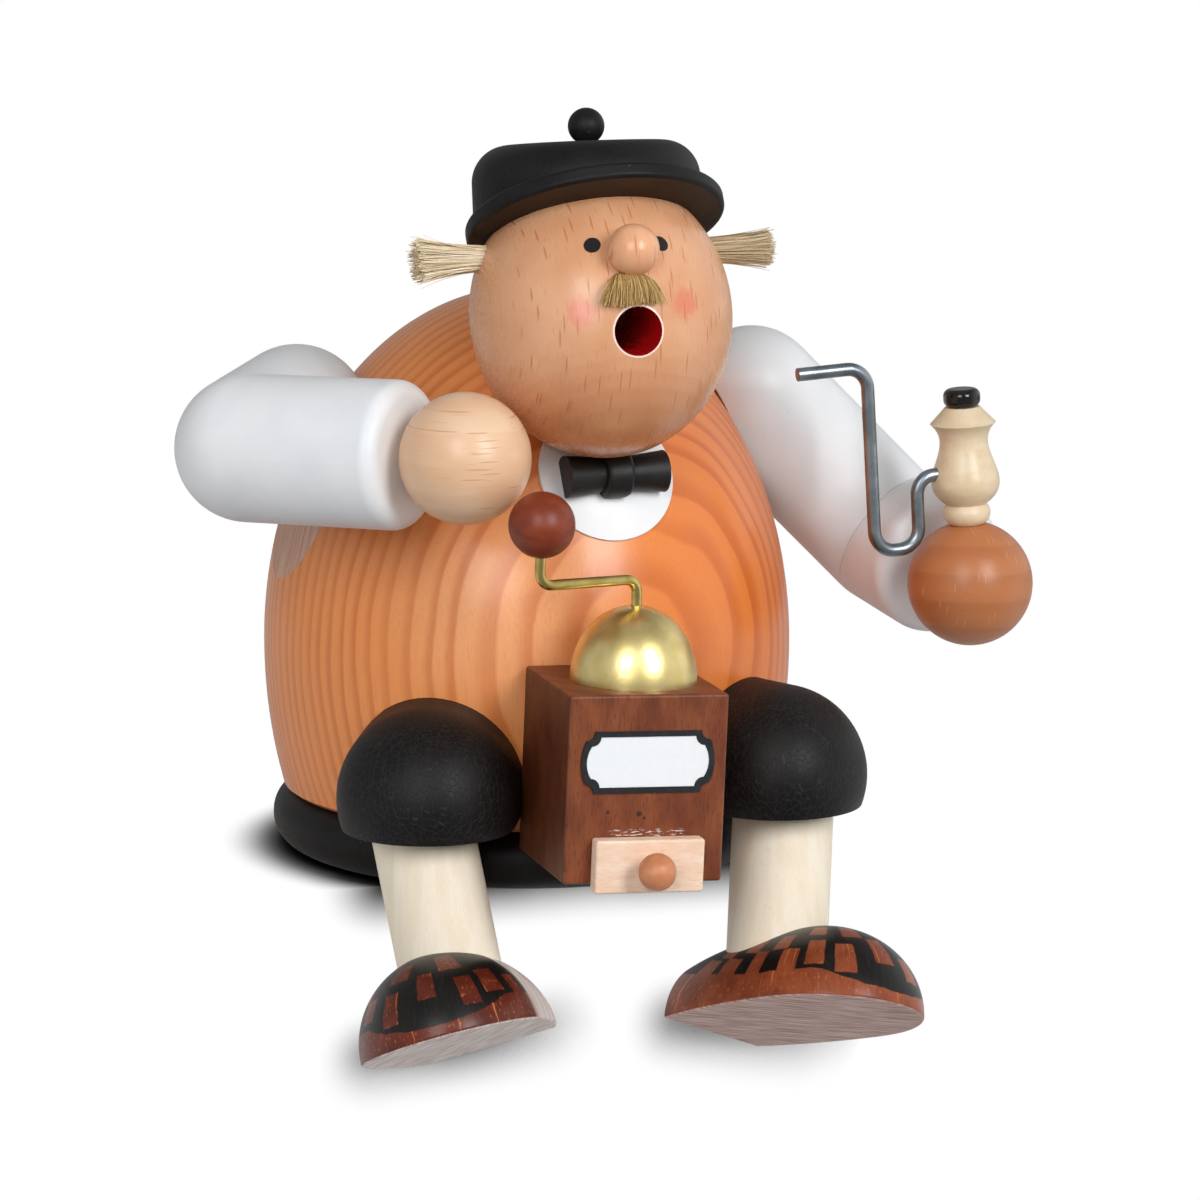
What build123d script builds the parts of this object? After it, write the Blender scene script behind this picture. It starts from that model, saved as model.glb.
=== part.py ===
"""Seated incense smoker: a turned-wood figure with a coffee mill, a pipe and a lift-off base.

Millimetres. The origin is the centre of the base plinth's underside, +Z is up, and the figure
faces -Y, so its right hand is on the -X side. The figure sits on an edge: its lower legs hang
in front of the plinth and below it.
"""
import os
from math import acos, asin, atan, cos, degrees, radians, sin, sqrt, tan

from build123d import *

# Clearances, how far a cut runs past a face, and the share of a thickness a rounded edge may take
GLUE_GAP = 0.05
SPIGOT_GAP = 0.3
CRANK_GAP = 0.06
LOOSE_GAP = 0.3
OVERCUT = 1.0
EDGE_LIMIT = 0.48

# Base plinth with the tin dish that holds the incense; the spigot's flank leans in, from upright,
# so that the figure comes off up and forward
PLINTH_RADIUS = 50.5
PLINTH_HEIGHT = 11.5
PLINTH_EDGE = 5.5
SPIGOT_HEIGHT = 7.0
SPIGOT_FLANK = 45.0
DISH_RADIUS = 13.0
DISH_HEIGHT = 4.0
DISH_WALL = 0.6
NAIL_RADIUS = 0.9
NAIL_HEAD_RADIUS = 2.2
NAIL_HEAD_HEIGHT = 0.8
NAIL_DEPTH = 9.0

# Body: a hollow turned shell; heights are above its underside
BELLY_RADIUS = 52.0
BODY_FOOT_INSET = 3.8
BELLY_HEIGHT = 28.5
CROWN_RISE = 70.0
BODY_EDGE = 0.8
CAVITY_RADIUS = 30.0
CAVITY_DEPTH = 64.5
CHIMNEY_RADIUS = 4.0

# Flat on the body for the head
HEAD_FLAT_ELEVATION = 43.0
HEAD_FLAT_DEPTH = 1.1

# Head: an ellipsoid of revolution, tilted back, with its own flat on top for the cap
HEAD_RADIUS = 24.6
HEAD_HALF_HEIGHT = 27.0
HEAD_TOP = 15.5
HEAD_TILT = 28.3
HEAD_SEAT_CUT = 2.3
HEAD_SHIFT = 1.0
NECK_RADIUS = 7.0
NECK_DEPTH = 8.0
FACE_TURN = -2.0
MOUTH_RADIUS = 4.5
NOSE_RADIUS = 4.8
NOSE_ELEVATION = 5.1
NOSE_STAND_OFF = 2.0
NOSE_PEG_RADIUS = 1.5
NOSE_PEG_LENGTH = 9.0

# Hair tufts and moustache: bundles of natural bristle
BRISTLE_RADIUS = 0.12
BRISTLE_SIDES = 3
BRISTLE_FUSE = 0.4
BRISTLE_RAGGED = 0.05
GOLDEN_ANGLE = 137.508
TUFT_STRAND_COUNT = 130
TUFT_HEIGHT = 11.6
TUFT_FORWARD = 1.5
TUFT_ROOT_RADIUS = 2.35
RIGHT_TUFT_TIP_RADIUS = 4.0
LEFT_TUFT_TIP_RADIUS = 3.2
TUFT_LENGTH = 13.4
TUFT_DEPTH = 6.0
MOUSTACHE_STRAND_COUNT = 120
MOUSTACHE_ELEVATION = -9.5
MOUSTACHE_TURN = -4.5
MOUSTACHE_ROOT_RADIUS = 1.3
MOUSTACHE_TIP_WIDTH = 6.2
MOUSTACHE_TIP_HEIGHT = 2.2
MOUSTACHE_LENGTH = 5.0
MOUSTACHE_DROOP = 34.0
MOUSTACHE_DEPTH = 5.0

# Cap
BRIM_RADIUS = 24.4
BRIM_THICKNESS = 3.2
BRIM_EDGE = 0.9
BRIM_FORWARD = 5.2
CROWN_RADIUS = 21.5
CROWN_HEIGHT = 14.6
CROWN_EDGE = 7.0
CROWN_FORWARD = 1.0
CROWN_TILT = 7.0
BUTTON_RADIUS = 3.45
BUTTON_FLAT = 0.4
BUTTON_FORWARD = 1.3

# Shirt front and bow tie; drops are below the head's seat
BIB_RADIUS = 13.4
BIB_THICKNESS = 0.7
BIB_DROP = 14.5
BIB_SWING = 4.0
TIE_DROP = 15.6
TIE_STAND_OFF = 2.0
TIE_LENGTH = 20.0
TIE_END_RADIUS = 4.0
TIE_WAIST_RADIUS = 3.0
KNOT_RADIUS = 4.5
KNOT_WIDTH = 5.5
KNOT_EDGE = 1.0

# Shoulders: a sloping flat each side of the body, its middle a drop below the head's seat
SHOULDER_FLAT_SLOPE = 23.0
SHOULDER_FLAT_DEPTH = 1.2
SHOULDER_FLAT_FOOT = 43.5
SHOULDER_DROP = 10.75
SHOULDER_STAND_OFF = 8.6
SHOULDER_FORWARD = 0.65

# Arms and hands; swing is measured from straight outward towards the front, dip is downward
ARM_RADIUS = 14.0
CUFF_EDGE = 3.0
RIGHT_UPPER_LENGTH = 29.9
RIGHT_UPPER_SWING = 57.8
RIGHT_UPPER_DIP = 3.5
RIGHT_FORE_LENGTH = 35.0
RIGHT_FORE_SWING = 133.7
RIGHT_FORE_DIP = -1.7
LEFT_UPPER_LENGTH = 42.1
LEFT_UPPER_SWING = 0.3
LEFT_UPPER_DIP = 45.0
LEFT_FORE_LENGTH = 24.3
LEFT_FORE_SWING = 85.2
LEFT_FORE_DIP = 6.1
HAND_RADIUS = 12.25
HAND_FLAT = 0.35
DOWEL_RADIUS = 2.5
DOWEL_LENGTH = 14.0

# Thighs, shins and shoes; angles are from straight ahead, outward
THIGH_RADIUS = 17.2
THIGH_HEIGHT = 9.1
KNEE_AZIMUTH = 35.0
KNEE_REACH = 8.8
THIGH_AZIMUTH = 24.0
THIGH_LENGTH = 13.6
THIGH_UNDERSIDE = 5.7
THIGH_EDGE = 1.2
SHIN_RADIUS = 9.7
SHIN_OUTSET = 1.25
SHIN_DEPTH = 3.5
SHIN_DROP = 26.0
SHIN_LEAN_IN = 7.6
SHIN_LEAN_FORWARD = 14.2
SHOE_DEPTH = 7.0
SHOE_RADIUS = 17.4
SHOE_TOE = 20.4
SHOE_HEEL = 29.0
SHOE_HEEL_CURVE = 1.55
SOLE_EDGE = 0.6
RIGHT_SHOE_FORWARD = 4.5
RIGHT_SHOE_OUT = 2.1
RIGHT_SHOE_SINK = 2.3
RIGHT_SHOE_PITCH = 23.4
RIGHT_SHOE_ROLL = 8.6
RIGHT_SHOE_TOE_OUT = 26.0
LEFT_SHOE_FORWARD = 10.0
LEFT_SHOE_OUT = 3.4
LEFT_SHOE_SINK = 1.3
LEFT_SHOE_PITCH = 25.4
LEFT_SHOE_ROLL = 12.5
LEFT_SHOE_TOE_OUT = 23.6

# Coffee mill
MILL_WIDTH = 30.5
MILL_HEIGHT = 35.3
MILL_SEAT_DEPTH = 1.0
MILL_CENTRE_HEIGHT = 15.1
MILL_SWING = 1.6
MILL_ROLL = 2.4
MILL_EDGE = 0.6
DOME_RADIUS = 11.9
DOME_HEIGHT = 14.0
DOME_SHIFT = 1.3
WIRE_RADIUS = 1.0
CRANK_DEPTH = 10.0
CRANK_RISE = 4.9
CRANK_RADIUS = 21.8
CRANK_POST = 11.3
CRANK_BEND = 2.6
CRANK_REST = 198.0
CRANK_KNOB_RADIUS = 6.15
LABEL_WIDTH = 25.5
LABEL_HEIGHT = 11.5
LABEL_THICKNESS = 0.5
LABEL_NOTCH = 1.7
LABEL_BULGE = 0.9
LABEL_BORDER = 1.0
LABEL_RAISE = 5.2
CARD_RECESS = 0.2
DRAWER_WIDTH = 20.8
DRAWER_HEIGHT = 10.0
DRAWER_THICKNESS = 3.5
DRAWER_EDGE = 0.5
DRAWER_INSET = 1.15
DRAWER_SHIFT = 0.3
PULL_RADIUS = 3.5
PULL_STAND_OFF = 4.4
PULL_PEG_RADIUS = 1.5
PULL_PEG_DEPTH = 2.0

# Pipe in the left hand; heights are above the hand's flat
PIPE_LEAN = 3.5
PIPE_FLAT = 0.45
PIPE_SOLE_RADIUS = 3.3
PIPE_RING_RADIUS = 4.6
PIPE_RING_HEIGHT = 4.0
PIPE_FOOT_RADIUS = 3.9
PIPE_BELLY_RADIUS = 6.5
PIPE_BELLY_HEIGHT = 9.8
PIPE_WAIST_RADIUS = 4.75
PIPE_WAIST_HEIGHT = 15.6
PIPE_RIM_RADIUS = 6.4
PIPE_RIM_HEIGHT = 20.0
PIPE_TOP_RADIUS = 3.4
PIPE_TOP_HEIGHT = 23.2
PIPE_PEG_RADIUS = 2.0
PIPE_PEG_DEPTH = 6.0
BEAD_RADIUS = 3.6
BEAD_HEIGHT = 3.6
BEAD_EDGE = 1.4
STEM_RADIUS = 1.3
STEM_INSET = 2.5
STEM_EXIT_HEIGHT = 10.4
STEM_REACH = 10.2
STEM_LOW = -3.5
STEM_LOOP = 9.2
STEM_HIGH = 32.9
STEM_TIP = 14.2
STEM_OUTER_BEND = 3.5
STEM_BEND = 4.1


def turned(*edges):
    """A solid turned about Z from a closed outline of (radius, height) edges."""
    return revolve(Plane.XZ * make_face(edges), Axis.Z)


def oval(height, wide, tall, start, end):
    """An arc of an upright ellipse on the axis, exact, between two angles from its wide end."""
    middle = radians((start + end) / 2)
    half = radians((end - start) / 2)
    stretch = 1 / cos(half)
    first = (wide * cos(radians(start)), height + tall * sin(radians(start)))
    pull = (wide * cos(middle) * stretch, height + tall * sin(middle) * stretch)
    last = (wide * cos(radians(end)), height + tall * sin(radians(end)))
    return Bezier(first, pull, last, weights=[1, cos(half), 1])


def peg(start, end, radius):
    """A plain round rod from one point to another."""
    run = end - start
    return Plane(origin=start, z_dir=run) * Cylinder(
        radius, run.length, align=(Align.CENTER, Align.CENTER, Align.MIN)
    )


def ball(centre, radius):
    return Pos(centre) * Sphere(radius)


def keep_above(solid, origin, normal):
    """The side of a solid that a plane's normal points to."""
    return split(solid, bisect_by=Plane(origin=origin, z_dir=normal), keep=Keep.TOP)


def one(shape):
    """The single solid of a result."""
    return shape.solids()[0] if len(shape.solids()) == 1 else shape


# Base plinth, dish and nail
BODY_Z = PLINTH_HEIGHT
DISH_Z = PLINTH_HEIGHT + SPIGOT_HEIGHT
SPIGOT_RADIUS = CAVITY_RADIUS - SPIGOT_GAP


def make_plinth():
    disc = Cylinder(PLINTH_RADIUS, PLINTH_HEIGHT, align=(Align.CENTER, Align.CENTER, Align.MIN))
    disc = fillet(disc.edges(), min(PLINTH_EDGE, PLINTH_HEIGHT * EDGE_LIMIT))
    top = SPIGOT_RADIUS - SPIGOT_HEIGHT * tan(radians(SPIGOT_FLANK))
    spigot = Pos(0, 0, PLINTH_HEIGHT) * Cone(
        SPIGOT_RADIUS, top, SPIGOT_HEIGHT, align=(Align.CENTER, Align.CENTER, Align.MIN)
    )
    hole = peg(Vector(0, 0, DISH_Z - NAIL_DEPTH), Vector(0, 0, DISH_Z + OVERCUT), NAIL_RADIUS + GLUE_GAP)
    return disc + spigot - hole


def make_dish():
    cup = Cylinder(DISH_RADIUS, DISH_HEIGHT, align=(Align.CENTER, Align.CENTER, Align.MIN))
    hollow = Pos(0, 0, DISH_WALL) * Cylinder(
        DISH_RADIUS - DISH_WALL, DISH_HEIGHT, align=(Align.CENTER, Align.CENTER, Align.MIN)
    )
    hole = Cylinder(NAIL_RADIUS + GLUE_GAP, DISH_HEIGHT)
    return Pos(0, 0, DISH_Z) * (cup - hollow - hole)


def make_nail():
    top = DISH_Z + DISH_WALL
    shank = peg(Vector(0, 0, DISH_Z - NAIL_DEPTH + GLUE_GAP), Vector(0, 0, top), NAIL_RADIUS)
    head = peg(Vector(0, 0, top), Vector(0, 0, top + NAIL_HEAD_HEIGHT), NAIL_HEAD_RADIUS)
    return shank + head


# Body outline
BODY_FOOT_RADIUS = BELLY_RADIUS - BODY_FOOT_INSET


def body_radius(height, grow=0.0):
    """Outer radius of the body at a height above its underside."""
    rise = height - BELLY_HEIGHT
    reach = CROWN_RISE if rise > 0 else lower_reach()
    return (BELLY_RADIUS + grow) * sqrt(1 - (rise / (reach + grow)) ** 2)


def lower_reach():
    """Half-height of the ellipse that the body's lower part follows."""
    return BELLY_HEIGHT / sqrt(1 - (BODY_FOOT_RADIUS / BELLY_RADIUS) ** 2)


def body_outer(grow=0.0):
    foot_angle = degrees(acos(BODY_FOOT_RADIUS / BELLY_RADIUS))
    wide = BELLY_RADIUS + grow
    lower = oval(BELLY_HEIGHT, wide, lower_reach() + grow, -foot_angle, 0)
    upper = oval(BELLY_HEIGHT, wide, CROWN_RISE + grow, 0, 90)
    base = lower @ 0
    axis = Line((0, base.Y), upper @ 1)
    floor = Line((0, base.Y), base)
    return Pos(0, 0, BODY_Z) * Rot(0, 0, 90) * turned(floor, lower, upper, axis)


# Head seat: the flat on the body, the neck's line and the head's own frame
def up_vector(elevation):
    """The direction in the mid plane that leans forward from the horizontal by an elevation."""
    return Vector(0, -cos(radians(elevation)), sin(radians(elevation)))


SEAT_NORMAL = up_vector(HEAD_FLAT_ELEVATION)
SEAT_SLOPE = Vector(0, sin(radians(HEAD_FLAT_ELEVATION)), cos(radians(HEAD_FLAT_ELEVATION)))
SEAT_SUPPORT = sqrt((BELLY_RADIUS * SEAT_NORMAL.Y) ** 2 + (CROWN_RISE * SEAT_NORMAL.Z) ** 2)
SEAT_TOUCH = Vector(
    0,
    BELLY_RADIUS**2 * SEAT_NORMAL.Y / SEAT_SUPPORT,
    BODY_Z + BELLY_HEIGHT + CROWN_RISE**2 * SEAT_NORMAL.Z / SEAT_SUPPORT,
)
SEAT_CENTRE = SEAT_TOUCH - SEAT_NORMAL * HEAD_FLAT_DEPTH
SEAT_HEIGHT = SEAT_CENTRE.Z - BODY_Z
HEAD_UP = Vector(0, sin(radians(HEAD_TILT)), cos(radians(HEAD_TILT)))
HEAD_FACE = up_vector(HEAD_TILT)
SEAT_TO_AXIS = SEAT_NORMAL.dot(HEAD_UP)
HEAD_SUPPORT = sqrt((HEAD_RADIUS**2) * (1 - SEAT_TO_AXIS**2) + (HEAD_HALF_HEIGHT * SEAT_TO_AXIS) ** 2)
HEAD_CENTRE = SEAT_CENTRE + SEAT_NORMAL * (HEAD_SUPPORT - HEAD_SEAT_CUT) + SEAT_SLOPE * HEAD_SHIFT
NECK_CENTRE = HEAD_CENTRE - SEAT_NORMAL * (HEAD_SUPPORT - HEAD_SEAT_CUT)
HEAD_FRAME = Plane(origin=HEAD_CENTRE, x_dir=(1, 0, 0), z_dir=HEAD_UP)


def face_radius(elevation):
    """Distance from the head's centre to its surface at an elevation in the head's frame."""
    level = cos(radians(elevation)) / HEAD_RADIUS
    rise = sin(radians(elevation)) / HEAD_HALF_HEIGHT
    return 1 / sqrt(level**2 + rise**2)


def face_point(elevation, distance, side_turn=FACE_TURN):
    """A point on the line of nose and mouth, in world coordinates."""
    ahead = -distance * cos(radians(elevation))
    turn = radians(side_turn)
    local = Vector(-ahead * sin(turn), ahead * cos(turn), distance * sin(radians(elevation)))
    return HEAD_FRAME.from_local_coords(local)


def head_outer(grow=0.0):
    top = degrees(asin(HEAD_TOP / HEAD_HALF_HEIGHT))
    chin = oval(0, HEAD_RADIUS + grow, HEAD_HALF_HEIGHT + grow, -90, 0)
    brow = oval(0, HEAD_RADIUS + grow, HEAD_HALF_HEIGHT + grow, 0, top)
    lid = Line(brow @ 1, (0, (brow @ 1).Y))
    axis = Line((0, (brow @ 1).Y), chin @ 0)
    return HEAD_FRAME * turned(chin, brow, lid, axis)


NOSE_CENTRE = face_point(NOSE_ELEVATION, face_radius(NOSE_ELEVATION) + NOSE_STAND_OFF)
NOSE_PEG_END = face_point(NOSE_ELEVATION, face_radius(NOSE_ELEVATION) + NOSE_STAND_OFF - NOSE_PEG_LENGTH)


def make_nose():
    return ball(NOSE_CENTRE, NOSE_RADIUS) + peg(NOSE_PEG_END, NOSE_CENTRE, NOSE_PEG_RADIUS)


def nose_socket():
    return ball(NOSE_CENTRE, NOSE_RADIUS + GLUE_GAP) + peg(
        NOSE_PEG_END, NOSE_CENTRE, NOSE_PEG_RADIUS + GLUE_GAP
    )


def tuft_frame(side):
    """Frame of a hair tuft: origin on the head's side, local Z pointing outward."""
    level = HEAD_RADIUS**2 * (1 - (TUFT_HEIGHT / HEAD_HALF_HEIGHT) ** 2)
    reach = sqrt(level - TUFT_FORWARD**2)
    origin = HEAD_FRAME.from_local_coords(Vector(side * reach, -TUFT_FORWARD, TUFT_HEIGHT))
    return Plane(origin=origin, x_dir=HEAD_UP, z_dir=(side, 0, 0))


def moustache_frame():
    """Frame of the moustache: origin on the face, local X sideways, local Z out and down."""
    origin = face_point(MOUSTACHE_ELEVATION, face_radius(MOUSTACHE_ELEVATION), MOUSTACHE_TURN)
    drop = radians(MOUSTACHE_DROOP)
    outward = HEAD_FACE * cos(drop) - HEAD_UP * sin(drop)
    return Plane(origin=origin, x_dir=(1, 0, 0), z_dir=outward)


def bristles(count, depth, root, tip, length):
    """A plug with strands that fan out from it; root is a radius and tip two half-widths."""
    plug = Pos(0, 0, -depth) * Cylinder(root, depth, align=(Align.CENTER, Align.CENTER, Align.MIN))
    strands = []
    for index in range(count):
        share = sqrt((index + 0.5) / count)
        turn = radians(index * GOLDEN_ANGLE)
        spot = Vector(cos(turn), sin(turn), 0) * share
        ragged = 1 - BRISTLE_RAGGED * (1 + sin(index * index))
        foot = spot * (root - BRISTLE_RADIUS)
        end = Vector(spot.X * tip[0], spot.Y * tip[1], length)
        end = foot + (end - foot) * ragged
        run = (end - foot).normalized()
        start = foot - run * BRISTLE_FUSE
        section = Plane(origin=start, z_dir=run) * RegularPolygon(BRISTLE_RADIUS, BRISTLE_SIDES)
        strands.append(extrude(section, amount=(end - start).length, dir=run).solid())
    return plug.solid().fuse(*strands)


def make_tuft(side, tip_radius):
    bundle = bristles(TUFT_STRAND_COUNT, TUFT_DEPTH, TUFT_ROOT_RADIUS, (tip_radius, tip_radius), TUFT_LENGTH)
    return tuft_frame(side).location * bundle


def make_moustache():
    tip = (MOUSTACHE_TIP_WIDTH, MOUSTACHE_TIP_HEIGHT)
    bundle = bristles(MOUSTACHE_STRAND_COUNT, MOUSTACHE_DEPTH, MOUSTACHE_ROOT_RADIUS, tip, MOUSTACHE_LENGTH)
    return moustache_frame().location * bundle


def bristle_hole(frame, radius, depth):
    bore = Pos(0, 0, -depth - GLUE_GAP) * Cylinder(
        radius + GLUE_GAP, depth + radius, align=(Align.CENTER, Align.CENTER, Align.MIN)
    )
    return frame.location * bore


def make_head():
    head = keep_above(head_outer(), NECK_CENTRE + SEAT_NORMAL * GLUE_GAP, SEAT_NORMAL)
    throat = face_point(-HEAD_TILT, -MOUTH_RADIUS)
    mouth = face_point(-HEAD_TILT, face_radius(HEAD_TILT) + MOUTH_RADIUS)
    head -= peg(throat, mouth, MOUTH_RADIUS)
    head -= peg(NECK_CENTRE - SEAT_NORMAL, HEAD_CENTRE, CHIMNEY_RADIUS)
    head -= peg(NECK_CENTRE - SEAT_NORMAL, NECK_CENTRE + SEAT_NORMAL * NECK_DEPTH, NECK_RADIUS + GLUE_GAP)
    head -= nose_socket()
    for side in (-1, 1):
        head -= bristle_hole(tuft_frame(side), TUFT_ROOT_RADIUS, TUFT_DEPTH)
    head -= bristle_hole(moustache_frame(), MOUSTACHE_ROOT_RADIUS, MOUSTACHE_DEPTH)
    return one(head)


def make_neck():
    low = NECK_CENTRE - SEAT_NORMAL * (NECK_DEPTH - GLUE_GAP)
    high = NECK_CENTRE + SEAT_NORMAL * (NECK_DEPTH - GLUE_GAP)
    return peg(low, high, NECK_RADIUS) - peg(low, high, CHIMNEY_RADIUS)


# Cap: the brim on the head's flat top, the crown leaning forward on the brim
BRIM_Z = HEAD_TOP
CROWN_Z = BRIM_Z + BRIM_THICKNESS
BUTTON_Z = CROWN_HEIGHT + BUTTON_RADIUS - BUTTON_FLAT
CROWN_UP = Vector(0, sin(radians(CROWN_TILT)), cos(radians(CROWN_TILT)))
CROWN_BASE = HEAD_FRAME.from_local_coords(Vector(0, -CROWN_FORWARD, CROWN_Z))
CROWN_FRAME = Plane(origin=CROWN_BASE, x_dir=(1, 0, 0), z_dir=CROWN_UP)


def make_brim():
    disc = Cylinder(BRIM_RADIUS, BRIM_THICKNESS, align=(Align.CENTER, Align.CENTER, Align.MIN))
    disc = fillet(disc.edges(), min(BRIM_EDGE, BRIM_THICKNESS * EDGE_LIMIT))
    return HEAD_FRAME * Pos(0, -BRIM_FORWARD, BRIM_Z) * disc


def make_crown():
    skirt = CROWN_RADIUS * tan(radians(HEAD_TILT - CROWN_TILT))
    corner = CenterArc((CROWN_RADIUS - CROWN_EDGE, CROWN_HEIGHT - CROWN_EDGE), CROWN_EDGE, 0, 90)
    rest = Polyline(
        corner @ 1, (0, CROWN_HEIGHT), (0, -skirt), (CROWN_RADIUS, -skirt), corner @ 0
    )
    crown = CROWN_FRAME * turned(corner, rest)
    return one(keep_above(crown, CROWN_BASE, HEAD_UP))


def make_button():
    knob = keep_above(Sphere(BUTTON_RADIUS), (0, 0, BUTTON_FLAT - BUTTON_RADIUS), (0, 0, 1))
    return CROWN_FRAME * Pos(0, -BUTTON_FORWARD, BUTTON_Z) * knob


# Shirt front and bow tie
BIB_HEIGHT = SEAT_HEIGHT - BIB_DROP
TIE_HEIGHT = SEAT_HEIGHT - TIE_DROP


def front_frame(height, grow):
    """Frame on the body's front surface, local Z along the outward normal, local X sideways."""
    swing = radians(BIB_SWING)
    radius = body_radius(height)
    level = radius / BELLY_RADIUS**2
    rise = (height - BELLY_HEIGHT) / CROWN_RISE**2
    tilt = atan(rise / level)
    ahead = Vector(sin(swing), -cos(swing), 0)
    normal = ahead * cos(tilt) + Vector(0, 0, sin(tilt))
    origin = ahead * radius + Vector(0, 0, BODY_Z + height) + normal * grow
    return Plane(origin=origin, x_dir=(cos(swing), sin(swing), 0), z_dir=normal)


def make_bib():
    skin = body_outer(BIB_THICKNESS) - body_outer(GLUE_GAP)
    disc = front_frame(BIB_HEIGHT, 0).location * Cylinder(BIB_RADIUS, BIB_RADIUS)
    bib = (skin & disc) - head_outer(LOOSE_GAP)
    bib = keep_above(bib, SEAT_CENTRE - SEAT_NORMAL * LOOSE_GAP, SEAT_NORMAL * -1)
    return bib.solids().sort_by(Axis.Z)[0]


def make_tie():
    half = TIE_LENGTH / 2
    wing = turned(
        Line((0, -half), (TIE_END_RADIUS, -half)),
        Line((TIE_END_RADIUS, -half), (TIE_WAIST_RADIUS, 0)),
        Line((TIE_WAIST_RADIUS, 0), (TIE_END_RADIUS, half)),
        Line((TIE_END_RADIUS, half), (0, half)),
        Line((0, half), (0, -half)),
    )
    knob = Cylinder(KNOT_RADIUS, KNOT_WIDTH)
    knob = fillet(knob.edges(), min(KNOT_EDGE, KNOT_WIDTH * EDGE_LIMIT))
    frame = front_frame(TIE_HEIGHT, BIB_THICKNESS + GLUE_GAP)
    tie = frame.location * Pos(0, 0, TIE_STAND_OFF) * Rot(0, 90, 0) * (wing + knob)
    tie = keep_above(tie, frame.origin, frame.z_dir)
    return one(tie - head_outer(LOOSE_GAP))


# Arms
SHOULDER_HEIGHT = SEAT_HEIGHT - SHOULDER_DROP


def aim(side, swing, dip):
    """Direction of an arm: swing from outward to the front, then dip downward."""
    level = cos(radians(dip))
    return Vector(
        side * level * cos(radians(swing)), -level * sin(radians(swing)), -sin(radians(dip))
    )


def rounded_rod(start, run, length, radius, edge=None):
    """A rod with a round start; its far end is round too, or flat with a rounded edge."""
    nose = CenterArc((0, 0), radius, 270, 90)
    if edge is None:
        side = Line((radius, 0), (radius, length))
        cap = CenterArc((0, length), radius, 0, 90)
        outline = [nose, side, cap, Line((0, length + radius), (0, -radius))]
    else:
        side = Line((radius, 0), (radius, length - edge))
        corner = CenterArc((radius - edge, length - edge), edge, 0, 90)
        cap = Line((radius - edge, length), (0, length))
        outline = [nose, side, corner, cap, Line((0, length), (0, -radius))]
    return Plane(origin=start, z_dir=run) * turned(*outline)


class Arm:
    """Points and directions of one arm, from its shoulder flat to its hand."""

    def __init__(self, side, upper_length, upper_aim, fore_length, fore_aim):
        slope = radians(SHOULDER_FLAT_SLOPE)
        self.normal = Vector(side * cos(slope), 0, sin(slope))
        fall = (SHOULDER_HEIGHT - SHOULDER_FLAT_FOOT) * tan(slope)
        out = BELLY_RADIUS - SHOULDER_FLAT_DEPTH - fall
        self.flat = Vector(side * out, -SHOULDER_FORWARD, BODY_Z + SHOULDER_HEIGHT)
        self.shoulder = self.flat + self.normal * SHOULDER_STAND_OFF
        self.upper_run = aim(side, *upper_aim)
        self.upper_length = upper_length
        self.elbow = self.shoulder + self.upper_run * upper_length
        self.fore_run = aim(side, *fore_aim)
        self.fore_length = fore_length
        self.wrist = self.elbow + self.fore_run * fore_length
        self.hand = self.wrist + self.fore_run * (HAND_RADIUS - HAND_FLAT)
        self.mitre = (self.upper_run + self.fore_run).normalized()

    def dowel_spots(self):
        return {
            "shoulder": (self.flat, self.normal),
            "elbow": (self.elbow, self.mitre),
            "wrist": (self.wrist, self.fore_run),
        }

    def dowel(self, spot, grow=0.0):
        point, run = self.dowel_spots()[spot]
        return dowel(point, run, grow)


def dowel(point, run, grow=0.0):
    """A round pin centred on a point, or the hole for it where it is grown."""
    half = run * (DOWEL_LENGTH / 2 + grow)
    return peg(point - half, point + half, DOWEL_RADIUS + grow)


RIGHT_ARM = Arm(
    -1,
    RIGHT_UPPER_LENGTH,
    (RIGHT_UPPER_SWING, RIGHT_UPPER_DIP),
    RIGHT_FORE_LENGTH,
    (RIGHT_FORE_SWING, RIGHT_FORE_DIP),
)
LEFT_ARM = Arm(
    1,
    LEFT_UPPER_LENGTH,
    (LEFT_UPPER_SWING, LEFT_UPPER_DIP),
    LEFT_FORE_LENGTH,
    (LEFT_FORE_SWING, LEFT_FORE_DIP),
)
ARMS = {"right": RIGHT_ARM, "left": LEFT_ARM}


def make_upper_arm(arm):
    rod = rounded_rod(arm.shoulder, arm.upper_run, arm.upper_length, ARM_RADIUS)
    rod = keep_above(rod, arm.flat + arm.normal * GLUE_GAP, arm.normal)
    rod = keep_above(rod, arm.elbow - arm.mitre * GLUE_GAP, arm.mitre * -1)
    return one(rod - arm.dowel("shoulder", GLUE_GAP) - arm.dowel("elbow", GLUE_GAP))


def make_forearm(arm):
    rod = rounded_rod(arm.elbow, arm.fore_run, arm.fore_length, ARM_RADIUS, CUFF_EDGE)
    rod = keep_above(rod, arm.elbow, arm.mitre)
    return one(rod - arm.dowel("elbow", GLUE_GAP) - arm.dowel("wrist", GLUE_GAP))


def make_hand(arm):
    hand = keep_above(ball(arm.hand, HAND_RADIUS), arm.wrist + arm.fore_run * GLUE_GAP, arm.fore_run)
    return one(hand - arm.dowel("wrist", GLUE_GAP))


# Pipe frame in the left hand: origin on the hand's small flat, local X towards the body
PIPE_UP = Vector(-sin(radians(PIPE_LEAN)), 0, cos(radians(PIPE_LEAN)))
PIPE_FRAME = Plane(
    origin=LEFT_ARM.hand + PIPE_UP * (HAND_RADIUS - PIPE_FLAT),
    x_dir=(-cos(radians(PIPE_LEAN)), 0, -sin(radians(PIPE_LEAN))),
    z_dir=PIPE_UP,
)


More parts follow.
